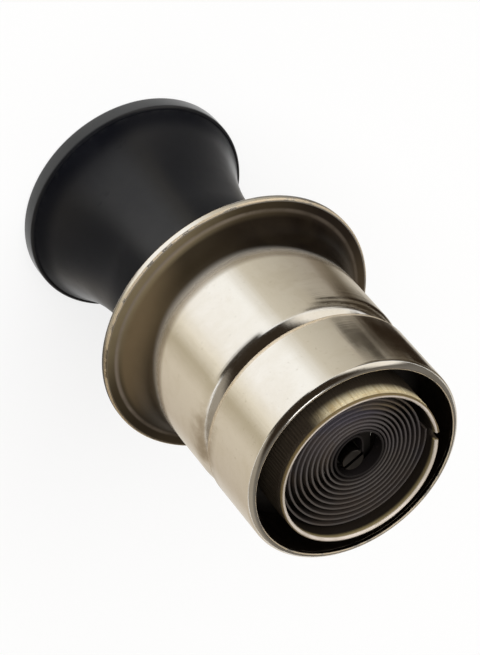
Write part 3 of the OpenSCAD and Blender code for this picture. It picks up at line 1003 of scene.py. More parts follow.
class Growth(Tree):
    """A Geometry Nodes tree that grows one piece."""

    def __init__(self, name: str, sizes: dict[str, float | int], material: Material) -> None:
        """Start a tree.

        Args:
            name: name of the tree and of the piece.
            sizes: value of each named input; a whole number makes an integer input.
            material: material that the tree sets.
        """
        self.name = name
        self.values = {**sizes, "Material": material}
        group = bpy.data.node_groups.new(name, "GeometryNodeTree")
        super().__init__(group)
        group.interface.new_socket("Geometry", in_out="INPUT", socket_type="NodeSocketGeometry")
        self.sockets = {}
        for key, value in self.values.items():
            kind = "Int" if isinstance(value, int) else "Float" if isinstance(value, float) else "Material"
            socket = group.interface.new_socket(key, in_out="INPUT", socket_type="NodeSocket" + kind)
            self.sockets[key] = socket
        group.interface.new_socket("Geometry", in_out="OUTPUT", socket_type="NodeSocketGeometry")
        self.given = self.add("NodeGroupInput").outputs

    def path(self, count: Socket) -> tuple[Socket, Socket]:
        """A line with so many points, still to be placed.

        Args:
            count: number of points.

        Returns:
            The curve, and each point's share of the way along it.
        """
        line = self.add("GeometryNodeCurvePrimitiveLine", {"End": UP}).outputs[0]
        points = self.add("GeometryNodeResampleCurve", {"Curve": line, "Count": count}, mode="COUNT")
        return points.outputs[0], self.add("GeometryNodeSplineParameter").outputs["Factor"]

    def triple(self, x: Any = 0.0, y: Any = 0.0, z: Any = 0.0) -> Socket:
        """Vector of three numbers."""
        return self.add("ShaderNodeCombineXYZ", {0: x, 1: y, 2: z}).outputs[0]

    def random(self, ends: Span, seed: int) -> Socket:
        """Random number between two ends, with a fixed seed."""
        wires = {2: ends[0], 3: ends[1], "Seed": seed}
        return self.add("FunctionNodeRandomValue", wires, data_type="FLOAT").outputs[1]

    def sweep(self, curve: Socket, spot: Socket, section: Socket) -> Socket:
        """Carry a section along a curve, with closed ends.

        Args:
            curve: the curve.
            spot: where each of its points goes.
            section: the section, which stays upright.

        Returns:
            The mesh.
        """
        moved = self.add("GeometryNodeSetPosition", {"Geometry": curve, "Position": spot}).outputs[0]
        level = self.add("GeometryNodeSetCurveNormal", {"Curve": moved}, mode="Z_UP").outputs[0]
        wires = {"Curve": level, "Profile Curve": section, "Fill Caps": True}
        return self.add("GeometryNodeCurveToMesh", wires).outputs[0]

    def piece(self, geometry: Socket) -> Thing:
        """End the tree and turn its result into a plain mesh.

        Args:
            geometry: socket with the finished geometry.

        Returns:
            The new object.
        """
        real = self.add("GeometryNodeRealizeInstances", {0: geometry}).outputs[0]
        soft = self.add("GeometryNodeSetShadeSmooth", {0: real}).outputs[0]
        dressed = self.add("GeometryNodeSetMaterial", {"Geometry": soft, "Material": self.given["Material"]})
        self.add("NodeGroupOutput", {0: dressed.outputs[0]})
        thing = new_object(self.name)
        modifier = thing.modifiers.new(self.name, "NODES")
        modifier.node_group = self.tree
        for key, value in self.values.items():
            modifier[self.sockets[key].identifier] = value
        plain_mesh(thing, GROWN_SHARP)
        return thing


@dataclass
class Piece:
    """One finished piece, its body, its slot and the CAD nodes that it stands for."""

    thing: Thing
    body: Body
    slot: Slot
    stands_for: tuple[str, ...] = ()

    def settle(self) -> None:
        """Hang the piece under its body's empty, and hide the CAD nodes that it stands for."""
        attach(self.thing, self.body.value)
        if self.stands_for:
            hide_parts(*self.stands_for)
        log.info("%s rides on %s", self.thing.name, self.body.value)


@dataclass
class KnobUnit:
    """Black knob and the ring on its neck."""

    head_r: float = 11.1
    rim: float = 1.8
    edge_r: float = 0.35
    neck_r: float = 8.05
    neck_at: float = 12.0
    dish_r: float = 8.0
    dish_depth: float = 0.5
    ring_low: float = 23.0
    ring_high: float = 26.1
    spigot_r: float = 7.6
    pocket_r: float = 6.65
    pocket_floor: float = 16.0
    insert_r: float = 3.52
    insert_low: float = 7.0
    ring_in: float = 7.62
    ring_out: float = 9.94
    ring_edge: float = 0.25
    knob_columns: int = 160
    ring_columns: int = 128

    def outline(self) -> list[Spot]:
        """Outline of the knob.

        Returns:
            The points, from the middle of its face round to its pocket.
        """
        run = self.head_r - self.edge_r - self.neck_r
        rise = self.neck_at - self.rim
        flare_r = (run * run + rise * rise) / (2 * run)
        flare_a = math.degrees(math.asin(rise / flare_r))
        dish = (self.dish_r ** 2 + self.dish_depth ** 2) / (2 * self.dish_depth)
        half = math.degrees(math.asin(self.dish_r / dish))
        face = arc(0, self.dish_depth - dish, dish, 90, 90 - half, 10)
        face[0] = (0.0, self.dish_depth)
        return [
            *face,
            *arc(self.head_r - self.edge_r, self.edge_r, self.edge_r, -90, 0, 8),
            *arc(self.head_r - self.edge_r, self.rim - self.edge_r, self.edge_r, 0, 90, 8),
            *arc(self.neck_r + flare_r, self.neck_at, flare_r, 180 + flare_a, 180, 28),
            (self.neck_r, self.ring_low), (self.spigot_r, self.ring_low), (self.spigot_r, self.ring_high),
            (self.pocket_r, self.ring_high), (self.pocket_r, self.pocket_floor),
            (self.insert_r, self.pocket_floor), (self.insert_r, self.insert_low), (0.0, self.insert_low)]

    def build(self, finishes: Finishes) -> list[Piece]:
        """Build and dress the knob and its ring.

        Args:
            finishes: the materials by slot.

        Returns:
            The two pieces.
        """
        section = ring_section((self.ring_in, self.ring_low), (self.ring_out, self.ring_high), self.ring_edge)
        rows = (("knob_body", self.outline(), self.knob_columns, Slot.BLACK_PLASTIC, "knob"),
                ("neck_ring", section, self.ring_columns, Slot.RING_PLASTIC, "guide_ring"))
        pieces = []
        for name, outline, columns, slot, node in rows:
            thing = lathe(name, outline, even_angles(columns), [finishes[slot]])
            pieces.append(Piece(thing, Body.PLUNGER, slot, (node,)))
        return pieces


@dataclass
class SleeveUnit:
    """Drawn sleeve with its flange, sweep, rolled groove and turned-in lip."""

    wall_r: float = 10.5
    sheet: float = 0.5
    flange_r: float = 13.5
    flange_z: float = 21.95
    flange_edge: float = 0.2
    flange_drop: float = 0.75
    sweep_h: float = 2.9
    flat_share: float = 0.34
    crease_r: float = 0.45
    groove_z: float = 33.1
    groove_long: float = 2.2
    groove_short: float = 0.75
    groove_depth: float = 0.8
    ridge_r: float = 0.3
    lip_z: float = 43.6
    lip_r: float = 0.7
    lip_edge: float = 0.1
    columns: int = 224
    bore: PlainMetal = PlainMetal("sooty_bore", (0.30, 0.25, 0.20), (0.16, 0.135, 0.11),
                                  (90.0, 90.0, 7000.0), (0.45, 0.6))

    def foot(self, depth: float) -> list[Spot]:
        """Line of the flange and the sweep.

        Args:
            depth: how far the line lies under the outer face.

        Returns:
            The points, from the flange's edge to the wall.
        """
        width = (1 - self.flat_share) * (self.flange_r - self.wall_r)
        square = width ** 2 + self.sweep_h ** 2 - 2 * self.sweep_h * self.crease_r
        sweep_r = square / (2 * (width - self.crease_r))
        turn = math.degrees(math.atan2(self.sweep_h - self.crease_r, sweep_r - width))
        edge = [(self.flange_r - self.flange_edge, self.flange_z)]
        if depth:
            edge_r = self.flange_r - depth
            edge = [(edge_r, self.flange_z - self.flange_drop), (edge_r, self.flange_z - depth)]
        crease_z, wall_z = self.flange_z + self.crease_r, self.flange_z + self.sweep_h
        crease = arc(self.wall_r + width, crease_z, self.crease_r + depth, 270, 180 + turn, 10)
        sweep = arc(self.wall_r + sweep_r, wall_z, sweep_r + depth, 180 + turn, 180, 26)
        return [*edge, *crease, *sweep[1:]]

    def groove(self, depth: float) -> list[Spot]:
        """Line of the rolled groove: a long curved flank, then a ridge.

        Args:
            depth: how far the line lies under the outer face.

        Returns:
            The points, upwards.
        """
        d, floor_z = self.groove_depth, self.groove_z + self.groove_long
        bend = (self.groove_long ** 2 + d * d) / (2 * d)
        turn = 2 * math.atan(d / self.groove_long)
        rise = math.atan2(self.groove_short, d - self.ridge_r) - math.asin(
            self.ridge_r / math.hypot(d - self.ridge_r, self.groove_short))
        flank = arc(self.wall_r - bend, self.groove_z, bend - depth, 0, math.degrees(turn), 18)
        if depth == 0:
            ridge_z = floor_z + self.groove_short
            start = math.degrees(rise) - 90
            return [*flank, *arc(self.wall_r - self.ridge_r, ridge_z, self.ridge_r, start, 0, 12)]
        up = (d - depth + depth * math.sin(rise)) / math.cos(rise)
        corner = arc(self.wall_r - d, floor_z, depth, 180 + math.degrees(turn), 90 + math.degrees(rise), 8)
        end_z = floor_z + depth * math.cos(rise) + up * math.sin(rise)
        return [*flank, *corner[1:], (self.wall_r - depth, end_z)]

    def line(self, depth: float) -> list[Spot]:
        """Line of the sheet.

        Args:
            depth: how far the line lies under the outer face.

        Returns:
            The points, from the flange to the lip.
        """
        stop = math.degrees(math.acos(self.lip_edge / (self.lip_r - depth)))
        lip = arc(self.wall_r - self.lip_r, self.lip_z - self.lip_r, self.lip_r - depth, 0, stop, 14)
        return [*self.foot(depth), *self.groove(depth), *lip]

    def build(self, finishes: Finishes) -> list[Piece]:
        """Build and dress the sleeve, plated outside and sooty in its bore.

        Args:
            finishes: the materials by slot.

        Returns:
            The piece.
        """
        e, f = self.lip_edge, self.flange_edge
        mouth_r, hem_r = self.wall_r - self.lip_r + e, self.flange_r - f
        out, inner = self.line(0.0), self.line(self.sheet)[::-1]
        mouth = [*arc(mouth_r, self.lip_z - e, e, 90, 180, 4),
                 *arc(mouth_r, self.lip_z - self.sheet + e, e, 180, 270, 4)]
        hem = [*arc(hem_r, self.flange_z - self.flange_drop + f, f, -90, 0, 5),
               *arc(hem_r, self.flange_z - f, f, 0, 90, 5)]
        outline = [*out, *mouth, *inner, *hem]
        bore_from = len(out) + len(mouth)
        bore_to = bore_from + len(inner) - len(self.foot(self.sheet))
        parts = [int(bore_from <= i < bore_to) for i in range(len(outline))]
        materials = [finishes[Slot.NICKEL], self.bore.make()]
        sleeve = lathe("sleeve_shell", outline, even_angles(self.columns), materials, parts)
        return [Piece(sleeve, Body.SLEEVE, Slot.NICKEL, ("sleeve",))]


@dataclass
class HeatingUnit:
    """Cup, heating ribbon and stud at the end of the stem."""

    cup_r: float = 7.85
    cup_sheet: float = 0.4
    cup_low: float = 38.9
    rim_z: float = 44.5
    corner_r: float = 0.8
    hole_r: float = 2.44
    cup_columns: int = 200
    wall_step: float = 0.9
    slot_at: float = 154.0
    slot_w: float = 0.9
    slot_depth: float = 1.0
    slot_columns: tuple[float, ...] = (-0.06, 0.06, 1.0, 2.0)
    tongue_out: float = 0.12
    tongue_run: float = 14.0
    tongue_h: float = 1.6
    rib_count: int = 150
    rib_sides: int = 8
    rib_r: float = 0.085
    rib_low: float = 40.2
    rib_high: float = 43.9
    rib_narrow: Span = (0.5, 1.7)
    rib_proud: Span = (0.15, 0.6)
    narrow_seed: int = 7
    proud_seed: int = 8
    ribbon_t: float = 0.2
    ribbon_w: float = 1.3
    ribbon_low: float = 41.8
    ribbon_edge: float = 0.05
    turns: int = 11
    turn_points: int = 100
    eye_r: float = 2.2
    eye_shift: float = 0.7
    start_at: float = 180.0
    tail: float = 75.0
    leave: float = 40.0
    crowding: float = 1.2
    sway: float = 0.035
    sway_rate: float = 0.9
    ribbon_gap: float = 0.15
    weld_gap: float = 0.02
    stud_r: float = 1.5
    stud_low: float = 33.22
    stud_step: float = 41.7
    stud_columns: int = 48
    tip_r: float = 1.05
    tip_z: float = 43.2
    tip_slot: float = 0.35
    chamfer: float = 0.15

    def slot_half(self) -> float:
        """Half of the slot's width as an angle in degrees."""
        return math.degrees(self.slot_w / 2 / self.cup_r)

    def cup_shift(self, a: float, r: float, z: float) -> Spot:
        """Cut the rim's slot and bend the sheet out beside it.

        Args:
            a: direction of the point.
            r: its radius.
            z: its height.

        Returns:
            Its new radius and height.
        """
        away = (math.degrees(a) - self.slot_at + 180) % 360 - 180
        half = self.slot_half()
        if abs(away) < half:
            z = min(z, self.rim_z - self.slot_depth)
        elif away > 0:
            lift = eased((z - self.rim_z + self.tongue_h) / self.tongue_h)
            r += self.tongue_out * lift * eased(1 - (away - half) / self.tongue_run)
        return r, z

    def cup(self, material: Material) -> Thing:
        """Build the cup with its slotted rim.

        Args:
            material: its material.

        Returns:
            The cup.
        """
        half = self.slot_half()
        close = [self.slot_at + side * (half + gap) for side in (-1, 1) for gap in self.slot_columns]
        angles = sorted({*even_angles(self.cup_columns), *(math.radians(d) for d in close)})
        bore, top = self.cup_r - self.cup_sheet, self.cup_sheet / 2
        corner = (self.cup_r - self.corner_r, self.cup_low + self.corner_r)
        wall = [corner[1] + self.wall_step * i for i in range(1, 5)]
        outline = [
            (self.hole_r, self.cup_low),
            *arc(*corner, self.corner_r, -90, 0, 8),
            *((self.cup_r, z) for z in wall),
            *arc(self.cup_r - top, self.rim_z - top, top, 0, 180, 10),
            *((bore, z) for z in wall[::-1]),
            *arc(*corner, self.corner_r - self.cup_sheet, 0, -90, 6),
            (self.hole_r, self.cup_low + self.cup_sheet)]
        return lathe("heater_cup_shell", outline, angles, [material], shift=self.cup_shift)

    def ribs(self, material: Material) -> Thing:
        """Grow the fine upright ribs round the cup's wall, clear of the rim's slot.

        Args:
            material: their material.

        Returns:
            The ribs, as one piece.
        """
        grow = Growth("cup_ribs", {
            "Count": self.rib_count, "Wall Radius": self.cup_r * MM, "Rib Radius": self.rib_r * MM,
            "Low": self.rib_low * MM, "High": self.rib_high * MM,
            "Slot": math.radians(self.slot_at), "Slot Width": self.slot_w / self.cup_r}, material)
        given = grow.given
        wires = {"Vertices": given["Count"], "Radius": given["Wall Radius"]}
        ring = grow.add("GeometryNodeMeshCircle", wires).outputs[0]
        middle = grow.triple(z=grow.times(grow.plus(given["High"], given["Low"]), 0.5))
        rows = grow.add("GeometryNodeSetPosition", {"Geometry": ring, "Offset": middle}).outputs[0]
        rise = grow.less(given["High"], given["Low"])
        wires = {"Vertices": self.rib_sides, "Radius": given["Rib Radius"], "Depth": rise}
        rib = grow.add("GeometryNodeMeshCylinder", wires).outputs[0]
        index = grow.add("GeometryNodeInputIndex").outputs[0]
        turn = grow.math("DIVIDE", grow.times(index, math.tau), given["Count"])
        at_slot = grow.math("COMPARE", turn, given["Slot"])
        grow.feed(at_slot.node.inputs[2], given["Slot Width"])
        proud = grow.random(self.rib_proud, self.proud_seed)
        narrow = grow.random(self.rib_narrow, self.narrow_seed)
        return grow.piece(grow.add("GeometryNodeInstanceOnPoints", {
            "Points": rows, "Selection": grow.rest(at_slot), "Instance": rib,
            "Rotation": grow.triple(z=turn), "Scale": grow.triple(proud, narrow, 1.0)}).outputs[0])

    def ribbon(self, material: Material) -> Thing:
        """Grow the flat spiral of heating ribbon from the stud's tip to the rim's slot.

        Args:
            material: its material.

        Returns:
            The ribbon.
        """
        bore, half_t = self.cup_r - self.cup_sheet, self.ribbon_t / 2
        sweep = 360.0 * self.turns + self.slot_at - self.start_at
        grow = Growth("heating_ribbon", {
            "Points": self.turn_points * self.turns,
            "Start": math.radians(self.start_at), "Sweep": math.radians(sweep),
            "Tail": self.tail / sweep, "Leave": self.leave / sweep,
            "Eye": self.eye_r * MM, "Eye Shift": self.eye_shift * MM,
            "Inner": (self.tip_r + self.weld_gap + half_t) * MM,
            "Outer": (bore - self.ribbon_gap - half_t) * MM,
            "Weld": (bore - self.weld_gap - half_t) * MM,
            "Middle": (self.ribbon_low + self.ribbon_w / 2) * MM,
            "Thickness": self.ribbon_t * MM, "Width": self.ribbon_w * MM, "Edge": self.ribbon_edge * MM,
            "Crowding": self.crowding, "Sway": self.sway * MM}, material)
        given = grow.given
        curve, share = grow.path(given["Points"])
        turn = grow.plus(given["Start"], grow.times(share, given["Sweep"]))
        tail = grow.remap(share, 0.0, given["Tail"])
        leave = grow.remap(share, grow.rest(given["Leave"]), 1.0)
        wires = {"W": grow.times(turn, self.sway_rate), "Scale": 1.0, "Detail": 1.0}
        sway = grow.add("ShaderNodeTexNoise", wires, noise_dimensions="1D").outputs[0]
        sway = grow.times(grow.less(sway, 0.5), given["Sway"])
        wound = grow.between(grow.math("POWER", share, given["Crowding"]), given["Eye"], given["Outer"])
        reach = grow.between(leave, grow.between(tail, given["Inner"], wound), given["Weld"])
        reach = grow.plus(reach, grow.times(sway, grow.less(tail, leave)))
        off = grow.times(given["Eye Shift"], tail, grow.rest(share))
        spot = grow.triple(grow.less(grow.times(reach, grow.math("COSINE", turn)), off),
                           grow.times(reach, grow.math("SINE", turn)), grow.plus(given["Middle"], sway))
        wires = {"Width": given["Thickness"], "Height": given["Width"]}
        section = grow.add("GeometryNodeCurvePrimitiveQuadrilateral", wires).outputs[0]
        wires = {"Curve": section, "Count": 3, "Radius": given["Edge"]}
        section = grow.add("GeometryNodeFilletCurve", wires, mode="POLY").outputs[0]
        return grow.piece(grow.sweep(curve, spot, section))

    def stud(self, material: Material) -> Thing:
        """Build the stud with its slotted tip.

        Args:
            material: its material.

        Returns:
            The stud.
        """
        c = self.chamfer
        outline = [(0.0, self.stud_low), (self.stud_r - c, self.stud_low), (self.stud_r, self.stud_low + c),
                   (self.stud_r, self.stud_step - c), (self.stud_r - c, self.stud_step),
                   (self.tip_r, self.stud_step), *arc(self.tip_r - c, self.tip_z - c, c, 0, 90, 5),
                   (0.0, self.tip_z)]
        stud = lathe("coil_post", outline, even_angles(self.stud_columns), ())
        depth = self.tip_z - self.ribbon_low
        size = Matrix.Diagonal((4 * self.stud_r * MM, self.tip_slot * MM, 2 * depth * MM, 1))
        bm = bmesh.new()
        bmesh.ops.create_cube(bm, size=1.0, matrix=Matrix.Translation((0, 0, self.tip_z * MM)) @ size)
        cutter = new_object("post_slot", bm)
        cut = stud.modifiers.new("slot", "BOOLEAN")
        cut.object, cut.operation, cut.solver = cutter, "DIFFERENCE", "EXACT"
        slotted = plain_mesh(stud, TURNED_SHARP)
        bpy.data.objects.remove(cutter)
        slotted.materials.clear()
        slotted.materials.append(material)
        return stud

    def build(self, finishes: Finishes) -> list[Piece]:
        """Build and dress the heating unit.

        Args:
            finishes: the materials by slot.

        Returns:
            The cup, its ribs, the ribbon and the stud.
        """
        rows = ((self.cup, Slot.CUP_METAL, ("heater_cup",)), (self.ribs, Slot.CUP_METAL, ()),
                (self.ribbon, Slot.HEATER_ALLOY, ("heater_coil",)),
                (self.stud, Slot.DARK_STEEL, ("coil_stud",)))
        return [Piece(make(finishes[slot]), Body.PLUNGER, slot, nodes) for make, slot, nodes in rows]


@dataclass
class SpringUnit:
    """Return spring between the knob's pocket and the guide body."""

    mean_r: float = 5.3
    wire_r: float = 0.4
    wire_sides: int = 14
    low: float = 16.6
    high: float = 32.0
    open_turns: int = 5
    turn_points: int = 64
    gap: float = 0.02
    travel: float = 6.0

    def build(self, finishes: Finishes) -> list[Piece]:
        """Grow and dress the spring.

        Args:
            finishes: the materials by slot.

        Returns:
            The piece.
        """
        turns = self.open_turns + 2
        inset = self.wire_r + self.gap
        grow = Growth("spring_coil", {
            "Points": self.turn_points * turns, "Turns": float(turns),
            "Radius": self.mean_r * MM, "Wire": self.wire_r * MM,
            "Low": (self.low + inset) * MM, "High": (self.high - inset) * MM,
            "Closed": 2 * inset * MM}, finishes[Slot.SPRING_STEEL])
        given = grow.given
        curve, share = grow.path(given["Points"])
        wound = grow.times(share, given["Turns"])
        last = grow.less(given["Turns"], 1.0)
        ends = grow.plus(grow.math("MINIMUM", wound, 1.0), grow.math("MAXIMUM", grow.less(wound, last), 0.0))
        rise = grow.less(grow.less(given["High"], given["Closed"]), grow.plus(given["Low"], given["Closed"]))
        rise = grow.remap(wound, 1.0, last, (0.0, rise), smooth=False)
        angle = grow.times(wound, math.tau)
        spot = grow.triple(grow.times(given["Radius"], grow.math("COSINE", angle)),
                           grow.times(given["Radius"], grow.math("SINE", angle)),
                           grow.plus(given["Low"], grow.times(ends, given["Closed"]), rise))
        wires = {"Resolution": self.wire_sides, "Radius": given["Wire"]}
        wire = grow.add("GeometryNodeCurvePrimitiveCircle", wires).outputs[0]
        spring = grow.piece(grow.sweep(curve, spot, wire))
        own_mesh(spring)
        return [Piece(spring, Body.PLUNGER, Slot.SPRING_STEEL, ("return_spring",))]


@dataclass
class InnerPieces:
    """CAD nodes that stay as they are and get a finish."""

    finish_of: dict[str, Slot] = field(default_factory=lambda: {
        "knob_insert": Slot.BRASS, "stem": Slot.STEEL, "spring_seat": Slot.STEEL,
        "lock_washer": Slot.SPRING_STEEL, "stem_nut": Slot.BRASS, "thrust_washer": Slot.STEEL,
        "guide_body": Slot.DARK_STEEL, "guide_bush": Slot.BRASS, "buffer_washer": Slot.FIBRE,
        "stop_plate": Slot.DARK_STEEL, "rear_insulator": Slot.MICA, "ceramic_bush": Slot.CERAMIC,
        "clamp_washer": Slot.DARK_STEEL, "clamp_nut": Slot.DARK_STEEL})

    def dress(self, finishes: Finishes) -> None:
        """Give each node its finish.

        Args:
            finishes: the materials by slot.
        """
        for node, slot in self.finish_of.items():
            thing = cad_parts[node]
            thing.data.materials.clear()
            thing.data.materials.append(finishes[slot])
            log.info("%s dressed in %s", node, slot.value)


@dataclass(frozen=True)
class Patch:
    """A dark patch on the floor, with its directions in degrees and its sizes in millimetres."""

    start: float
    end: float
    inner: float
    outer: float
    soft: float
    tone: Colour


@dataclass(frozen=True)
class Wall:
    """A pale wall of the room: its colour, its side along X, and where along Y it ends."""

    tone: Colour
    side: float
    end: float


@dataclass
class Studio:
    """Pale floor, soft lamps, toned cards for the metal to mirror, and the camera."""

    floor_r: float = 4000.0
    floor_colour: Colour = (0.95, 0.95, 0.945)
    floor_glow: float = 0.8
    sheet_steps: int = 96
    ring_z: float = 0.3
    ring_in: float = 14.5
    ring_out: float = 500.0
    ring_tones: tuple[tuple[float, Colour], ...] = (
        (-180, (0.36, 0.32, 0.26)), (-124, (0.62, 0.57, 0.47)), (-106, (1.0, 0.99, 0.96)),
        (-71, (1.0, 0.98, 0.95)), (-54, (0.83, 0.77, 0.65)), (-40, (0.46, 0.40, 0.29)),
        (-22, (0.64, 0.57, 0.46)), (30, (0.54, 0.47, 0.38)), (80, (0.80, 0.76, 0.70)),
        (135, (0.55, 0.50, 0.42)), (158, (0.16, 0.13, 0.09)), (172, (0.24, 0.20, 0.15)),
        (180, (0.36, 0.32, 0.26)))
    patches: tuple[Patch, ...] = (
        Patch(122, 178, 37, 72, 9, (0.022, 0.014, 0.008)),
        Patch(170, 203, 44, 66, 7, (0.045, 0.036, 0.026)),
        Patch(120, 214, 60, 150, 26, (0.035, 0.025, 0.015)),
        Patch(140, 222, 110, 420, 102, (0.035, 0.025, 0.015)),
        Patch(-104, -44, 80, 3900, 210, (0.026, 0.019, 0.012)),
        Patch(-75, 80, 11.5, 35, 7.8, (0.15, 0.15, 0.16)),
        Patch(135, 235, 11.5, 35, 7.8, (0.17, 0.17, 0.17)))
    patch_z: float = 0.4
    patch_grain: float = 70.0
    patch_sway: float = 9.0
    patch_core: float = 0.7
    dark_side: Colour = (0.028, 0.020, 0.013)
    far_side: Colour = (0.17, 0.155, 0.135)
    far_from: Span = (-0.25, 0.55)
    walls: tuple[Wall, ...] = (Wall((0.33, 0.295, 0.245), 1.0, 2.0), Wall((0.92, 0.87, 0.79), -1.0, 0.22))
    wall_from: Span = (0.45, 0.75)
    wall_top: Span = (0.66, 1.0)
    wall_lean: float = 0.7
    wall_fade: float = 0.22
    key_strength: float = 3.5
    key_spread: float = 60.0
    key_from: Way = (-0.22, -0.62, 0.80)
    panel_azimuth: float = 90.0
    panel_elevation: float = 80.0
    panel_distance: float = 0.6
    panel_size: float = 0.12
    panel_light: float = 2.0
    view_tilt: float = 46.7
    view_roll: float = 139.5
    view_distance: float = 0.320
    view_height: float = 0.02235
    focal_pixels: float = 3525.0

    def sheet(self, name: str, turn: Span, radii: Span, z: float, material: Material) -> Thing:
        """Lay a flat sheet on the floor.

        Args:
            name: name of the sheet.
            turn: first and last direction, in degrees about the axis.
            radii: radii at which the sheet starts and ends, in millimetres.
            z: height of the sheet.
            material: its material.

        Returns:
            The sheet, marked as part of the stage.
        """
        bm = bmesh.new()
        rows = []
        for r in radii:
            spots = arc(0, 0, r, *turn, self.sheet_steps)
            rows.append([bm.verts.new((x * MM, y * MM, z * MM)) for x, y in spots])
        inner, outer = rows
        for i in range(self.sheet_steps):
            bm.faces.new((inner[i], outer[i], outer[i + 1], inner[i + 1]))
        sheet = new_object(name, bm)
        sheet.data.materials.append(material)
        return sheet

    def glow(self, name: str) -> tuple[Tree, Material, bpy.types.Node]:
        """Start a material that shines by itself.

        Args:
            name: name of the material.

        Returns:
            Its tree, the material and its light.
        """
        material = bpy.data.materials.new(name)
        material.use_nodes = True
        tree = Tree(material.node_tree)
        light = tree.add("ShaderNodeEmission", {"Strength": 1.0})
        tree.feed(material.node_tree.nodes["Material Output"].inputs["Surface"], light.outputs[0])
        return tree, material, light

    def blend(self, tree: Tree, share: Socket, under: Socket, over: Socket) -> None:
        """Make a material's surface a mix of two shaders."""
        both = tree.add("ShaderNodeMixShader", {0: share, 1: under, 2: over}).outputs[0]
        tree.feed(tree.tree.nodes["Material Output"].inputs["Surface"], both)

    def floor(self) -> None:
        """Lay the floor, which the camera and the metal see as white, with the plug's shadow on it."""
        tree, material, light = self.glow("pale_floor")
        paper = material.node_tree.nodes["Principled BSDF"]
        paper.inputs["Roughness"].default_value = 0.9
        paper.inputs["Specular IOR Level"].default_value = 0.1
        tree.feed(paper.inputs["Base Color"], self.floor_colour)
        ray = tree.add("ShaderNodeLightPath").outputs
        seen = tree.plus(ray["Is Camera Ray"], ray["Is Glossy Ray"], ray["Is Transmission Ray"])
        share = tree.times(tree.math("MINIMUM", seen, 1.0), self.floor_glow)
        self.blend(tree, share, paper.outputs[0], light.outputs[0])
        self.sheet("floor", (0, 360), (0, self.floor_r), 0, material)

    def patch(self, patch: Patch) -> Thing:
        """Lay one dark patch with a soft uneven edge.

        Args:
            patch: its place, sizes and colour.

        Returns:
            The patch.
        """
        tree, material, light = self.glow("dark_patch")
        tree.feed(light.inputs["Color"], patch.tone)
        middle, half = math.radians(patch.start + patch.end) / 2, (patch.end - patch.start) / 360 / 2
        turned = tree.add("ShaderNodeVectorRotate", {"Vector": tree.own_place(), "Angle": -middle},
                          rotation_type="Z_AXIS").outputs[0]
        cloud = tree.noise(turned, self.patch_grain, 3.0).outputs["Color"]
        width = self.patch_sway * MM
        place = tree.vector("MULTIPLY_ADD", tree.vector("SUBTRACT", cloud, (0.5, 0.5, 0.5)),
                            (width, width, 0.0), turned)
        turn = tree.add("ShaderNodeTexGradient", {0: place}, gradient_type="RADIAL").outputs["Fac"]
        aside = tree.math("ABSOLUTE", tree.less(turn, 0.5))
        reach = tree.vector("LENGTH", place)
        mask = tree.times(tree.remap(aside, half * self.patch_core, half, FALL),
                          tree.remap(reach, patch.inner * MM, (patch.inner + patch.soft) * MM),
                          tree.remap(reach, (patch.outer - patch.soft) * MM, patch.outer * MM, FALL))
        self.blend(tree, mask, tree.add("ShaderNodeBsdfTransparent").outputs[0], light.outputs[0])
        margin = self.patch_sway / 2
        return self.sheet("dark_patch", (patch.start - margin, patch.end + margin),
                          (patch.inner - margin, patch.outer + margin), self.patch_z, material)

    def cards(self) -> None:
        """Lay the toned ring and the dark patches that only mirrored rays see."""
        tree, material, light = self.glow("toned_ring")
        turn = tree.add("ShaderNodeTexGradient", {0: tree.own_place()}, gradient_type="RADIAL").outputs["Fac"]
        ramp = tree.add("ShaderNodeValToRGB", {0: turn})
        stops = ramp.color_ramp.elements
        while len(stops) < len(self.ring_tones):
            stops.new(1.0)
        for stop, (angle, tone) in zip(stops, self.ring_tones):
            stop.position, stop.color = angle / 360 + 0.5, (*tone, 1.0)
        tree.feed(light.inputs["Color"], ramp.outputs[0])
        ring = self.sheet("toned_ring", (0, 360), (self.ring_in, self.ring_out), self.ring_z, material)
        for card in (ring, *(self.patch(patch) for patch in self.patches)):
            for kind in ("camera", "diffuse", "shadow", "transmission", "volume_scatter"):
                setattr(card, "visible_" + kind, False)

    def world(self) -> None:
        """Set a dark room with a pale far side and pale walls to the left and right."""
        world = bpy.data.worlds.new("studio")
        world.use_nodes = True
        tree = Tree(world.node_tree)
        looked_at = tree.add("ShaderNodeTexCoord").outputs["Generated"]
        way = tree.add("ShaderNodeSeparateXYZ", {0: looked_at}).outputs
        sky = tree.mix(tree.remap(way[1], *self.far_from), self.dark_side, self.far_side)
        near = tree.math("MINIMUM", way[1], 0.0)
        low = tree.remap(tree.less(way[2], tree.times(near, self.wall_lean)), *self.wall_top, FALL)
        for wall in self.walls:
            beside = tree.times(tree.remap(tree.times(way[0], wall.side), *self.wall_from),
                                tree.remap(way[1], wall.end - self.wall_fade, wall.end, FALL), low)
            sky = tree.mix(beside, sky, wall.tone)
        tree.feed(world.node_tree.nodes["Background"].inputs["Color"], sky)
        bpy.context.scene.world = world

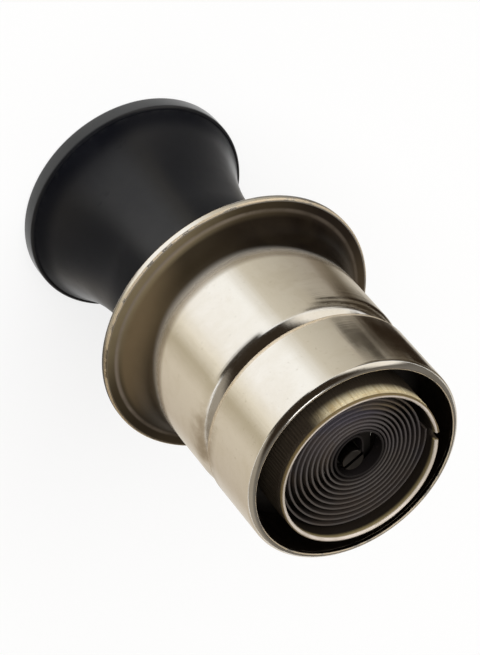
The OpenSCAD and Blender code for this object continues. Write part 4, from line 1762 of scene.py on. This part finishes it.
    def lamp(self, name: str, kind: Lamp, place: Vector, energy: float, **settings: float | str) -> None:
        """Hang one lamp, turned towards the plug; metal mirrors it unless it is a sun.

        Args:
            name: name of the lamp.
            kind: kind of lamp.
            place: where it hangs, in metres.
            energy: its strength.
            settings: its other properties.
        """
        light = bpy.data.lights.new(name, kind.value)
        light.energy = energy
        for key, value in settings.items():
            setattr(light, key, value)
        lamp = bpy.data.objects.new(name, light)
        lamp.location = place
        aim = Vector((0, 0, self.view_height)) - place
        lamp.rotation_euler = aim.to_track_quat("-Z", "Y").to_euler()
        lamp.visible_camera = False
        lamp.visible_glossy = kind is not Lamp.SUN
        bpy.context.scene.collection.objects.link(lamp)

    def lamps(self) -> None:
        """Hang the broad key lamp, and a small soft panel over the plug."""
        spread = math.radians(self.key_spread)
        self.lamp("key", Lamp.SUN, Vector(self.key_from), self.key_strength, angle=spread)
        a, e = math.radians(self.panel_azimuth), math.radians(self.panel_elevation)
        way = Vector((math.cos(a) * math.cos(e), math.sin(a) * math.cos(e), math.sin(e)))
        size = self.panel_size
        self.lamp("top_panel", Lamp.AREA, way * self.panel_distance, self.panel_light * math.pi * size * size,
                  shape="RECTANGLE", size=size, size_y=size)

    def camera(self) -> None:
        """Set the camera at the photograph's angle."""
        tilt, roll = math.radians(self.view_tilt), math.radians(self.view_roll)
        back = Vector((0, -math.sin(tilt), math.cos(tilt)))
        side, up = Vector((1, 0, 0)), Vector((0, math.cos(tilt), math.sin(tilt)))
        right = math.cos(roll) * side + math.sin(roll) * up
        top = -math.sin(roll) * side + math.cos(roll) * up
        data = bpy.data.cameras.new("camera")
        data.sensor_width = SENSOR
        data.lens = self.focal_pixels * SENSOR / IMAGE_LONG_SIDE
        data.clip_start, data.clip_end = 0.01, 50.0
        eye = bpy.data.objects.new("camera", data)
        turn = Matrix((right, top, back)).transposed().to_4x4()
        place = back * self.view_distance + Vector((0, 0, self.view_height))
        eye.matrix_world = Matrix.Translation(place) @ turn
        bpy.context.scene.collection.objects.link(eye)
        bpy.context.scene.camera = eye

    def build(self) -> None:
        """Set the stage, the lamps and the camera."""
        bpy.context.scene.view_settings.view_transform = "Standard"
        for step in (self.floor, self.cards, self.world, self.lamps, self.camera):
            step()


def main() -> None:
    """Build the plug's pieces and the studio round it."""
    logging.basicConfig(level=logging.INFO, format="%(name)s: %(message)s")
    finishes = make_finishes()
    for unit in (KnobUnit(), SleeveUnit(), HeatingUnit(), SpringUnit()):
        for piece in unit.build(finishes):
            piece.settle()
    InnerPieces().dress(finishes)
    Studio().build()


if __name__ == "__main__":
    main()
